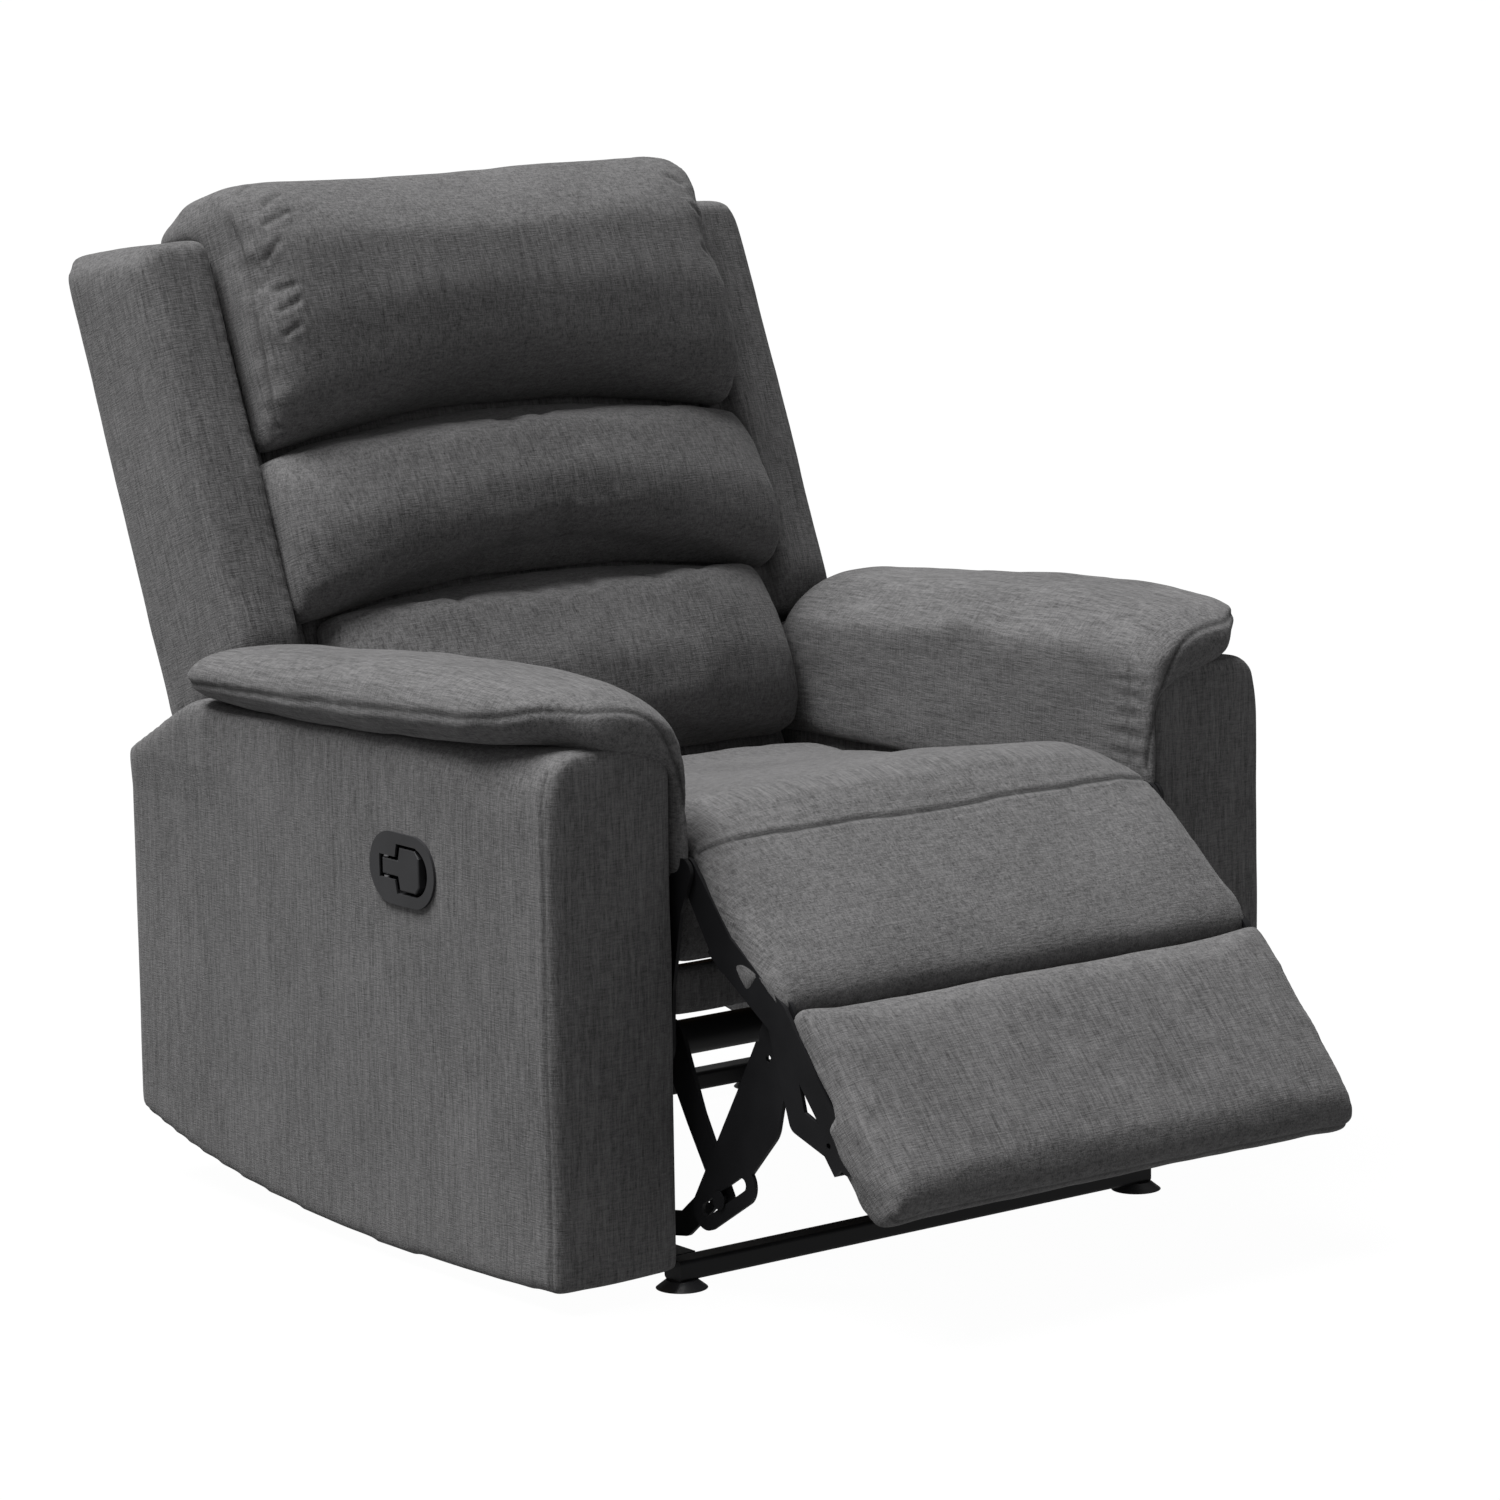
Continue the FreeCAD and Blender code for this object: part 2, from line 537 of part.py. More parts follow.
def link_parts():
    angle = math.radians(SLOT_ANGLE)
    uy, uz = math.cos(angle), math.sin(angle)
    y, z = CRANK_END
    high = (y + SLOT_UP * uy, z + SLOT_UP * uz)
    low = (y + SLOT_DOWN * uy, z + SLOT_DOWN * uz)
    plate = fuse([strap([LINK_TOP, (-100, 190), low], [20, 34, 20], LINK_X),
                  strap([high, low], [20, 20], LINK_X)])
    plate = plate.cut(strap([high, low], [SLOT_HALF, SLOT_HALF], LINK_X - 1, PLATE + 2))
    plate = plate.cut(rod(LINK_TOP, PIN_R + RUN, LINK_X - 1, LINK_X + PLATE + 1))
    for hole in ((-101, 262), (-118, 245)):
        plate = plate.cut(rod(hole, 4, LINK_X - 1, LINK_X + PLATE + 1))
    return {"slotted_link_left": plate, "slotted_link_right": mirrored(plate)}


def crank_parts():
    tube = Part.makeCylinder(17, 2 * CRANK_X, V(-CRANK_X, *TORQUE_TUBE), X_AXIS)
    tube = tube.cut(Part.makeCylinder(14.5, 2 * CRANK_X, V(-CRANK_X, *TORQUE_TUBE), X_AXIS))
    crank = strap([TORQUE_TUBE, (4, 166), CRANK_END], [20, 15, 13], CRANK_X)
    stub = rod(TORQUE_TUBE, 10, CRANK_X + PLATE, SIDE_PLATE_X + PLATE + 1)
    pin = bolt(CRANK_END, PIN_R, CRANK_X, LINK_X + PLATE + 0.8, 9, 0.8)
    crank = crank.cut(rod(CRANK_END, PIN_R, CRANK_X - 1, CRANK_X + PLATE + 1))
    plug = rod(TORQUE_TUBE, 14.5, CRANK_X - 12, CRANK_X)
    stub = fuse([stub, plug])
    crank = crank.cut(rod(TORQUE_TUBE, 10, CRANK_X - 1, CRANK_X + PLATE + 1))
    return {
        "torque_tube": tube,
        "tube_end_stubs": both(fuse([stub, rod(TORQUE_TUBE, 10, CRANK_X, CRANK_X + PLATE)])),
        "crank_left": crank,
        "crank_right": mirrored(crank),
        "crank_pins": both(pin),
    }


# ---------------------------------------------------------------- back
def back_slab(points, x0, x1):
    return slab([on_back(h, f) for h, f in points], x0, x1)


def roll(low, high, bulge, half, foot_bulge=6.0):
    """Padded roll of the back between two seams, bulging forward."""
    span = high - low
    rear = BODY_FRONT
    points = [(low + 2, rear), (low + 2, foot_bulge), (low + span * 0.16, bulge * 0.82),
              (low + span * 0.45, bulge), (low + span * 0.78, bulge * 0.72), (high - 2, foot_bulge),
              (high - 2, rear)]
    shape = back_slab(points, -half, half)
    ends = [e for e in shape.Edges if in_side_plane(e)]
    return shape, ends


def back_parts():
    wood = UPRIGHT_OUT - UPRIGHT_IN
    front = BODY_FRONT - 22
    rear = front - 60
    upright = back_slab([(-80, front), (470, front), (470, rear), (-80, rear)], UPRIGHT_IN, UPRIGHT_OUT)
    rails = []
    for height in (-76, 190, 430):
        rails.append(back_slab([(height, front), (height + 40, front), (height + 40, front - wood),
                                (height, front - wood)], -UPRIGHT_IN, UPRIGHT_IN))
    straps = []
    for height in (0, 60, 120, 270, 330, 390):
        straps.append(back_slab([(height, front + 3), (height + 36, front + 3), (height + 36, front),
                                 (height, front)], -UPRIGHT_OUT, UPRIGHT_OUT))
    core_low = [(-128, BODY_FRONT), (BODY_TOP_FRONT, BODY_FRONT), (BODY_TOP_REAR, BODY_REAR), (-68, BODY_REAR)]
    shell = back_slab(core_low, -BACK_HALF, BACK_HALF)
    wing_points = [on_back(WING_TOP_FRONT, WING_FRONT), on_back(BODY_TOP_REAR, BODY_REAR), on_back(82, BODY_REAR),
                   (735, 456), (PAD_REAR + 9, 518), (PAD_REAR + 9, 562)]
    wing = slab(wing_points, BACK_HALF, WING_HALF)
    outer_edges = [e for e in wing.Edges
                   if in_side_plane(e) and abs(e.Vertexes[0].Point.x - WING_HALF) < 0.01
                   and max(v.Point.z for v in e.Vertexes) > 600]
    wing = wing.makeFillet(24, outer_edges)
    wing = wing.cut(back_slab([(-150, BODY_FRONT), (700, BODY_FRONT), (700, 100), (-150, 100)],
                              0, CUSHION_HALF + 0.5))
    cavity = back_slab([(-84, front + 3.2), (474, front + 3.2), (474, rear - 2), (-84, rear - 2)],
                       -UPRIGHT_OUT, UPRIGHT_OUT)
    shell = shell.cut(cavity)
    cover_cut = back_slab([(-140, BODY_REAR + 4), (600, BODY_REAR + 4), (600, BODY_REAR - 10),
                           (-140, BODY_REAR - 10)], -BACK_HALF, BACK_HALF)
    cover = shell.common(cover_cut)
    shell = shell.cut(cover_cut)
    lower, ends = roll(LUMBAR_LOW, SEAM_LOWER, 46, LUMBAR_HALF, foot_bulge=14.0)
    lower = lower.makeFillet(8, ends)
    middle, ends = roll(SEAM_LOWER, SEAM_UPPER, 50, CUSHION_HALF)
    middle = middle.makeFillet(8, ends)
    head_points = [(SEAM_UPPER + 2, BODY_FRONT), (SEAM_UPPER + 2, 6), (350, 48), (430, 66), (520, 62),
                   (572, 44), (HEAD_TOP, 4), (HEAD_TOP + 8, -60), (HEAD_TOP - 6, -112),
                   (BODY_TOP_REAR - 24, -124), (BODY_TOP_FRONT + 2, BODY_FRONT)]
    head = back_slab(head_points, -HEAD_HALF, HEAD_HALF)
    body_block = back_slab([(-128, BODY_FRONT), (BODY_TOP_FRONT, BODY_FRONT), (BODY_TOP_REAR, BODY_REAR),
                            (-68, BODY_REAR)], -WING_HALF, WING_HALF)
    head = head.cut(body_block)
    bracket = strap([BACK_HINGE, on_back(-40, front - 20), on_back(170, front - 20)], [20, 18, 14], BRACKET_X,
                    PLATE)
    bracket = bracket.cut(rod(BACK_HINGE, 6 + RUN, BRACKET_X - 1, BRACKET_X + PLATE + 1))
    wing = wing.cut(strap([BACK_HINGE, on_back(-40, front - 20), on_back(174, front - 20)], [23, 21, 17],
                          BRACKET_X - 2, PLATE + 4))
    return {
        "back_upright_left": upright,
        "back_upright_right": mirrored(upright),
        "back_cross_rails": Part.Compound(rails),
        "back_webbing": Part.Compound(straps),
        "back_shell": shell,
        "back_cover": cover,
        "back_wing_left": wing,
        "back_wing_right": mirrored(wing),
        "lower_cushion": lower,
        "middle_cushion": middle,
        "head_cushion": head,
        "back_bracket_left": bracket,
        "back_bracket_right": mirrored(bracket),
    }


# ---------------------------------------------------------------- assembly
def build():
    parts = {}
    for group in (base_parts, seat_parts, arm_parts, handle_parts, latch_parts, leg_parts, link_parts,
                  crank_parts, back_parts):
        parts.update(group())
    boxes = [shape.optimalBoundingBox(False) for shape in parts.values()]
    middle = (min(b.YMin for b in boxes) + max(b.YMax for b in boxes)) / 2
    for shape in parts.values():
        shape.translate(V(0, -middle, 0))
    return parts, middle


PARTS, ORIGIN_Y = build()
os.makedirs("parts", exist_ok=True)
for name, shape in PARTS.items():
    shape.exportStep("parts/%s.step" % name)
    if not shape.isValid():
        print("NOT VALID", name)
print(len(PARTS), "parts; arms' front faces at y =", round(-ORIGIN_Y, 3))
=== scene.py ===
"""Looks of the recliner armchair: upholstery, finishes, floor, light and camera.

Lengths are millimetres with y = 0 at the arms' front faces and z = 0 on the floor, until place() turns
them into the frame's metres. +Z up, the sitter faces -Y, +X is the sitter's left.
"""
import bpy
import json
import math
import numpy as np
from mathutils import Matrix, Vector
from mathutils.kdtree import KDTree


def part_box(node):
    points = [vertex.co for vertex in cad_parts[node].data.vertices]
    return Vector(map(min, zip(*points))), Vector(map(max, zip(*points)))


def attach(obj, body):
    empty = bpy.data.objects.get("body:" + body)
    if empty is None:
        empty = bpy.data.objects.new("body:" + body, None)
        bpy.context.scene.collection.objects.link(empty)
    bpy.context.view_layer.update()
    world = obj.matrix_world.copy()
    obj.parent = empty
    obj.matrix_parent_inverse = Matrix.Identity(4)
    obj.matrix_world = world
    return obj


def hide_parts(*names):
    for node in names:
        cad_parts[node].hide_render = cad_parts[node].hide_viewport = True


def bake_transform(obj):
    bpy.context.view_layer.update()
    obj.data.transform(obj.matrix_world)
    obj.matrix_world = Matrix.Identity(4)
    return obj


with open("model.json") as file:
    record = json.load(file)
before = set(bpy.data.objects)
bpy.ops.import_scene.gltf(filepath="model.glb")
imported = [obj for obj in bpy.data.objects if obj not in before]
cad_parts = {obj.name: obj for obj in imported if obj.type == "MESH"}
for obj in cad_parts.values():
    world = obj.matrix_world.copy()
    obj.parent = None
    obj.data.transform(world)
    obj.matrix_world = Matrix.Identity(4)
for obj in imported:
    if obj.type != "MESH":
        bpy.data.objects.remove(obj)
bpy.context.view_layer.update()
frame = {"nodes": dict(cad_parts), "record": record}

NODES = frame["nodes"]
FRONT_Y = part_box("arm_front_panel_left")[0].y


def corners(node):
    """Lowest and highest corner of a CAD node, in metres with y = 0 at the arms' front faces."""
    return [(corner.x, corner.y - FRONT_Y, corner.z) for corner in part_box(node)]


# leg rest, as it is in the frame
HINGE = (-5.6, 405.6)
CALF_SLOPE, FOOT_SLOPE = math.radians(37.7), math.radians(46.8)
CALF_LENGTH, FOOT_LENGTH = 190.0, 221.0
HINGE_ROUND = 22.0
PAD_DEPTH, DEEP = 58.0, 63.0
LEG_HALF = 290.0
CALF_HALF = 290.0
SEAT_HALF = 281.0
LINK_CLEAR = 270.5                 # half width of the pads where they pull in beside the links
CALF_PINCH, FOOT_PINCH = 229, 300  # how far along the leg rest each pad pulls in

# back
TILT = math.radians(22.0)
BACK_FOOT = (563.0, 445.0)
FACING = (0.0, -math.cos(TILT), math.sin(TILT))   # the way the back looks
SEAM_LOWER, SEAM_UPPER, HEAD_TOP = 134.0, 311.0, 592.0
LUMBAR_LOW = -46.0
ARCH_LOWER, ARCH_UPPER = 31.0, 33.0
HEAD_ROUND = 40.0
WING_LEAN, WING_RISE = 9, 8        # the wings' fronts lean back to the outside; their tops are higher
WING_SLOPE = 0.2324                # how the wings' tops slope to the rear
# short gathers at the head cushion's ends: height, length across, rise, on each side
CREASES = {-1: ((566, 24, 22), (540, 34, 12), (503, 16, 17), (468, 22, 3), (446, 20, 6), (422, 14, 5)),
           1: ((552, 18, 14), (512, 14, 10), (470, 16, 4))}


# ---------------------------------------------------------------- places
def on_leg(distance, depth):
    y, z = HINGE
    if distance <= CALF_LENGTH:
        slope = CALF_SLOPE
        y -= distance * math.cos(slope)
        z -= distance * math.sin(slope)
    else:
        extra = distance - CALF_LENGTH
        slope = FOOT_SLOPE
        y -= CALF_LENGTH * math.cos(CALF_SLOPE) + extra * math.cos(slope)
        z -= CALF_LENGTH * math.sin(CALF_SLOPE) + extra * math.sin(slope)
    lift = HINGE_ROUND - depth
    return (y - math.sin(slope) * lift, z + math.cos(slope) * lift)


def on_back(height, forward):
    y = BACK_FOOT[0] + height * math.sin(TILT) - forward * math.cos(TILT)
    z = BACK_FOOT[1] + height * math.cos(TILT) + forward * math.sin(TILT)
    return (y, z)


def back_measures(co):
    """Height along the back and distance forward of its seam plane, for each point."""
    dy, dz = co[:, 1] - BACK_FOOT[0], co[:, 2] - BACK_FOOT[1]
    height = dy * math.sin(TILT) + dz * math.cos(TILT)
    forward = -dy * math.cos(TILT) + dz * math.sin(TILT)
    return height, forward


def from_back(x, height, forward):
    y, z = on_back(height, forward)
    return np.stack([x, y, z], axis=1)


# ---------------------------------------------------------------- mesh helpers
def points_of(obj):
    co = np.zeros(len(obj.data.vertices) * 3, np.float32)
    obj.data.vertices.foreach_get("co", co)
    co = co.reshape(-1, 3).astype(float)
    co[:, 1] -= FRONT_Y
    return co * 1000.0


def place(obj, co):
    out = np.array(co, float) / 1000.0
    out[:, 1] += FRONT_Y
    obj.data.vertices.foreach_set("co", out.astype(np.float32).ravel())
    obj.data.update()


def new_object(name, mesh):
    obj = bpy.data.objects.new(name, mesh)
    bpy.context.scene.collection.objects.link(obj)
    return obj


def from_cad(name, node):
    """A new piece that starts as a copy of a CAD node's mesh."""
    mesh = NODES[node].data.copy()
    mesh.materials.clear()
    return new_object(name, mesh)


def prism(name, profile, half):
    """Closed prism of (y, z) points from -half to half along X."""
    count = len(profile)
    verts = [(-half, y, z) for y, z in profile] + [(half, y, z) for y, z in profile]
    faces = [tuple(range(count - 1, -1, -1)), tuple(range(count, 2 * count))]
    for i in range(count):
        j = (i + 1) % count
        faces.append((i, j, count + j, count + i))
    mesh = bpy.data.meshes.new(name)
    mesh.from_pydata(verts, [], faces)
    obj = new_object(name, mesh)
    place(obj, np.array(verts, float))
    return obj


def apply_modifiers(obj):
    graph = bpy.context.evaluated_depsgraph_get()
    mesh = bpy.data.meshes.new_from_object(obj.evaluated_get(graph))
    old = obj.data
    obj.modifiers.clear()
    obj.data = mesh
    bpy.data.meshes.remove(old)


def remesh(obj, voxel):
    """Even quads over the closed shape, about voxel millimetres wide."""
    mod = obj.modifiers.new("voxels", "REMESH")
    mod.mode = "VOXEL"
    mod.voxel_size = voxel / 1000.0
    apply_modifiers(obj)


def subdivide(obj, levels=1):
    mod = obj.modifiers.new("subdivision", "SUBSURF")
    mod.levels = levels
    mod.render_levels = levels
    apply_modifiers(obj)


def edge_array(obj):
    edges = np.zeros(len(obj.data.edges) * 2, np.int32)
    obj.data.edges.foreach_get("vertices", edges)
    return edges.reshape(-1, 2)


def smooth(obj, rounds, keep=None):
    """Moves each point towards its neighbours' middle; keep is 1 where a point stays as it is."""
    co = points_of(obj)
    edges = edge_array(obj)
    a, b = edges[:, 0], edges[:, 1]
    count = len(co)
    degree = np.bincount(a, minlength=count) + np.bincount(b, minlength=count)
    degree = np.maximum(degree, 1)[:, None]
    free = 0.6 if keep is None else 0.6 * (1 - keep(co))[:, None]
    for _ in range(rounds):
        total = np.zeros_like(co)
        for axis in range(3):
            total[:, axis] = (np.bincount(a, co[b, axis], count) + np.bincount(b, co[a, axis], count))
        co += free * (total / degree - co)
    place(obj, co)


def normals_of(obj):
    no = np.zeros(len(obj.data.vertices) * 3, np.float32)
    obj.data.vertices.foreach_get("normal", no)
    return no.reshape(-1, 3).astype(float)


def inflate(obj, pressure, cap, mask=None, frames=20):
    """Swells the closed shape as cloth under pressure. No point moves more than cap millimetres."""
    rest = points_of(obj)
    mod = obj.modifiers.new("cloth", "CLOTH")
    settings = mod.settings
    settings.quality = 4
    settings.mass = 0.3
    settings.tension_stiffness = 12
    settings.compression_stiffness = 12
    settings.shear_stiffness = 4
    settings.bending_stiffness = 0.6
    settings.use_pressure = True
    settings.uniform_pressure_force = pressure
    settings.effector_weights.gravity = 0
    mod.point_cache.frame_start = 1
    mod.point_cache.frame_end = frames
    for number in range(1, frames + 1):
        bpy.context.scene.frame_set(number)
    apply_modifiers(obj)
    bpy.context.scene.frame_set(1)
    move = points_of(obj) - rest
    length = np.linalg.norm(move, axis=1, keepdims=True)
    move *= np.minimum(1.0, cap / np.maximum(length, 1e-6))
    if mask is not None:
        move *= mask(rest)[:, None]
    place(obj, rest + move)


def wave_noise(co, size, seed):
    """Smooth bumps of about this size, from -1 to 1, the same each run."""
    rng = np.random.default_rng(seed)
    total = np.zeros(len(co))
    for _ in range(7):
        direction = rng.normal(size=3)
        direction /= np.linalg.norm(direction)
        total += np.sin(co @ direction * (2 * math.pi / size) * rng.uniform(0.7, 1.4) + rng.uniform(0, 6.3))
    return total / 4.0


def push(obj, amount):
    """Moves points along their normals by amount(points, normals) millimetres."""
    co, no = points_of(obj), normals_of(obj)
    place(obj, co + no * amount(co, no)[:, None])


def dense(points, step=3.0):
    """Evenly spaced points along a smooth line through the given ones, with the arc length at each."""
    pts = np.array(points, float)
    fine = []
    for i in range(len(pts) - 1):
        p0, p1, p2, p3 = pts[max(i - 1, 0)], pts[i], pts[i + 1], pts[min(i + 2, len(pts) - 1)]
        for t in np.linspace(0, 1, 24, endpoint=False):
            fine.append(0.5 * (2 * p1 + (p2 - p0) * t + (2 * p0 - 5 * p1 + 4 * p2 - p3) * t * t
                               + (3 * p1 - p0 - 3 * p2 + p3) * t ** 3))
    fine.append(pts[-1])
    fine = np.array(fine)
    arc = np.concatenate([[0], np.cumsum(np.linalg.norm(np.diff(fine, axis=0), axis=1))])
    marks = np.arange(0, arc[-1], step)
    line = np.stack([np.interp(marks, arc, fine[:, k]) for k in range(3)], axis=1)
    return line, marks


def nearest(co, line):
    """Distance to the line and the index of its nearest point, for each point."""
    tree = KDTree(len(line))
    for i, p in enumerate(line):
        tree.insert(p, i)
    tree.balance()
    low, high = line.min(0) - 40, line.max(0) + 40
    distance = np.full(len(co), 1e6)
    index = np.zeros(len(co), int)
    for i in np.nonzero(np.all((co > low) & (co < high), axis=1))[0]:
        _, found, d = tree.find(co[i])
        distance[i], index[i] = d, found
    return distance, index


def on_surface(co, line):
    """The line, moved to the nearest mesh points and evened out."""
    tree = KDTree(len(co))
    for i, p in enumerate(co):
        tree.insert(p, i)
    tree.balance()
    snapped = np.array([co[tree.find(p)[1]] for p in line])
    for _ in range(14):
        snapped[1:-1] = (snapped[:-2] + 2 * snapped[1:-1] + snapped[2:]) / 4
    return snapped


def seam(obj, points, depth=2.4, width=3.4, pucker=0.0, pitch=17.0, reach=22.0, dark=1.0, facing=None):
    """A stitched seam: a groove along a line with painted shade in its bottom, and gathered cloth beside it.

    With facing, the cloth gathers only where the surface looks that way.
    """
    co, no = points_of(obj), normals_of(obj)
    line, marks = dense(points)
    line = on_surface(co, line)
    distance, index = nearest(co, line)
    move = -depth * np.exp(-(distance / width) ** 2)
    move += depth * 0.45 * np.exp(-((distance - 2.6 * width) / (1.4 * width)) ** 2)
    if pucker:
        s = marks[index]
        ripple = np.sin(2 * math.pi * s / pitch + 1.3 * np.sin(s / 31.0)) * np.clip(1.2 + np.sin(s / 47.0), 0.3, 2)
        fade = np.exp(-(distance / reach) ** 2) * np.clip(distance / 5.0, 0, 1)
        if facing is not None:
            fade *= np.clip(no @ np.array(facing, float) * 2.0, 0, 1)
        move += pucker * ripple * fade
    place(obj, co + no * move[:, None])
    # painted shade: the cloth darkens in the seam's groove, as strongly as dark says
    paint_seam_shade(obj, dark * np.exp(-(distance / 2.6) ** 2))


def paint_seam_shade(obj, values):
    """Adds painted shade to the piece's seam attribute, which darkens the cloth in seam grooves and creases."""
    layer = obj.data.attributes.get("seam_painted_shade") or obj.data.attributes.new("seam_painted_shade", "FLOAT", "POINT")
    old = np.zeros(len(obj.data.vertices), np.float32)
    layer.data.foreach_get("value", old)
    layer.data.foreach_set("value", np.maximum(old, values).astype(np.float32))


def finish_cloth(obj, body, nodes, warp, material=None, ride=True):
    """Grain, shading, slot and body of an upholstered piece. warp is the threads' direction."""
    co = points_of(obj) / 1000.0
    along = np.array(warp, float)
    along /= np.linalg.norm(along)
    out = np.cross([1.0, 0.0, 0.0], along)
    grain = np.stack([co[:, 0], co @ out, co @ along], axis=1)
    layer = obj.data.attributes.new("grain", "FLOAT_VECTOR", "POINT")
    layer.data.foreach_set("vector", grain.astype(np.float32).ravel())
    # the painted seam shade starts at zero where no seam runs
    paint_seam_shade(obj, np.zeros(len(co)))
    obj.data.materials.clear()
    obj.data.materials.append(material or CLOTH)
    obj.data.polygons.foreach_set("use_smooth", np.ones(len(obj.data.polygons), bool))
    obj.data.update()
    if nodes:
        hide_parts(*nodes)
    if ride:
        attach(obj, body)
    return obj


# ---------------------------------------------------------------- materials
def material(name):
    mat = bpy.data.materials.new(name)
    mat.use_nodes = True
    return mat, mat.node_tree.nodes, mat.node_tree.links, mat.node_tree.nodes["Principled BSDF"]


def math_node(nodes, links, kind, a, b=None, c=None):
    node = nodes.new("ShaderNodeMath")
    node.operation = kind
    for socket, value in zip(node.inputs, (a, b, c)):
        if value is None:
            continue
        if isinstance(value, (int, float)):
            socket.default_value = value
        else:
            links.new(value, socket)
    return node.outputs[0]


def stretched(nodes, links, source, scale, detail=2.0, rough=0.6, factor=1.0):
    """Noise with its own scale along each direction."""
    mapping = nodes.new("ShaderNodeMapping")
    mapping.inputs["Scale"].default_value = scale
    links.new(source, mapping.inputs["Vector"])
    noise = nodes.new("ShaderNodeTexNoise")
    noise.inputs["Scale"].default_value = factor
    noise.inputs["Detail"].default_value = detail
    noise.inputs["Roughness"].default_value = rough
    links.new(mapping.outputs["Vector"], noise.inputs["Vector"])
    return noise.outputs["Fac"]


def woven(name, dark, light, bump=0.5):
    """Coarse linen-look weave: long slubs along the warp, finer threads across, small light flecks, and painted
    shade along seams and creases.
    """
    mat, nodes, links, bsdf = material(name)
    grain = nodes.new("ShaderNodeAttribute")
    grain.attribute_name = "grain"
    at = grain.outputs["Vector"]
    slub = stretched(nodes, links, at, (640, 640, 75), 3.0, 0.65)
    long_slub = stretched(nodes, links, at, (260, 260, 16), 2.0, 0.5)
    cross = stretched(nodes, links, at, (90, 90, 720), 2.0, 0.6)
    fleck = stretched(nodes, links, at, (1100, 1100, 800), 2.0, 0.7)
    broad = stretched(nodes, links, at, (9, 9, 6), 2.0, 0.5)
    a = math_node(nodes, links, "MULTIPLY", slub, 0.40)
    b = math_node(nodes, links, "MULTIPLY", long_slub, 0.22)
    c = math_node(nodes, links, "MULTIPLY", cross, 0.26)
    d = math_node(nodes, links, "MULTIPLY", fleck, 0.20)
    e = math_node(nodes, links, "MULTIPLY", broad, 0.10)
    total = math_node(nodes, links, "ADD", a, b)
    total = math_node(nodes, links, "ADD", total, c)
    total = math_node(nodes, links, "ADD", total, d)
    total = math_node(nodes, links, "ADD", total, e)
    ramp = nodes.new("ShaderNodeValToRGB")
    ramp.color_ramp.elements[0].position = 0.43
    ramp.color_ramp.elements[0].color = (*dark, 1)
    ramp.color_ramp.elements[1].position = 0.70
    ramp.color_ramp.elements[1].color = (*light, 1)
    links.new(total, ramp.inputs["Fac"])
    # painted shade: the seam attribute darkens the weave in seam grooves and gathers
    shade = nodes.new("ShaderNodeAttribute")
    shade.attribute_name = "seam_painted_shade"
    keep = math_node(nodes, links, "MULTIPLY_ADD", shade.outputs["Fac"], -0.72, 1.0)
    mix = nodes.new("ShaderNodeMix")
    mix.data_type = "RGBA"
    mix.blend_type = "MULTIPLY"
    mix.inputs["Factor"].default_value = 1.0
    links.new(ramp.outputs["Color"], mix.inputs["A"])
    grey = nodes.new("ShaderNodeCombineColor")
    for channel in ("Red", "Green", "Blue"):
        links.new(keep, grey.inputs[channel])
    links.new(grey.outputs["Color"], mix.inputs["B"])
    links.new(mix.outputs["Result"], bsdf.inputs["Base Color"])
    rough = math_node(nodes, links, "MULTIPLY_ADD", cross, 0.15, 0.80)
    links.new(rough, bsdf.inputs["Roughness"])
    bsdf.inputs["Specular IOR Level"].default_value = 0.18
    bsdf.inputs["Sheen Weight"].default_value = 0.10
    bsdf.inputs["Sheen Roughness"].default_value = 0.5
    relief = math_node(nodes, links, "ADD", slub, cross)
    relief = math_node(nodes, links, "MULTIPLY_ADD", fleck, 0.6, relief)
    node = nodes.new("ShaderNodeBump")
    node.inputs["Strength"].default_value = bump
    node.inputs["Distance"].default_value = 0.0012
    links.new(relief, node.inputs["Height"])
    links.new(node.outputs["Normal"], bsdf.inputs["Normal"])
    return mat


def coated(name, colour, rough, metallic=0.0, texture=900.0, bump=0.15, wear=0.5, specular=0.5):
    """Painted, plated or moulded surface with a fine texture and slightly uneven gloss."""
    mat, nodes, links, bsdf = material(name)
    place_at = nodes.new("ShaderNodeTexCoord").outputs["Object"]
    fine = stretched(nodes, links, place_at, (texture, texture, texture), 2.0)
    broad = stretched(nodes, links, place_at, (14, 14, 14), 3.0)
    ramp = nodes.new("ShaderNodeValToRGB")
    ramp.color_ramp.elements[0].position = 0.3
    ramp.color_ramp.elements[0].color = (*[c * (1 - 0.35 * wear) for c in colour], 1)
    ramp.color_ramp.elements[1].position = 0.75
    ramp.color_ramp.elements[1].color = (*[c * (1 + 0.6 * wear) for c in colour], 1)
    links.new(broad, ramp.inputs["Fac"])
    links.new(ramp.outputs["Color"], bsdf.inputs["Base Color"])
    links.new(math_node(nodes, links, "MULTIPLY_ADD", broad, 0.25, rough - 0.12), bsdf.inputs["Roughness"])
    bsdf.inputs["Metallic"].default_value = metallic
    bsdf.inputs["Specular IOR Level"].default_value = specular
    node = nodes.new("ShaderNodeBump")
    node.inputs["Strength"].default_value = bump
    node.inputs["Distance"].default_value = 0.0004
    links.new(fine, node.inputs["Height"])
    links.new(node.outputs["Normal"], bsdf.inputs["Normal"])
    return mat


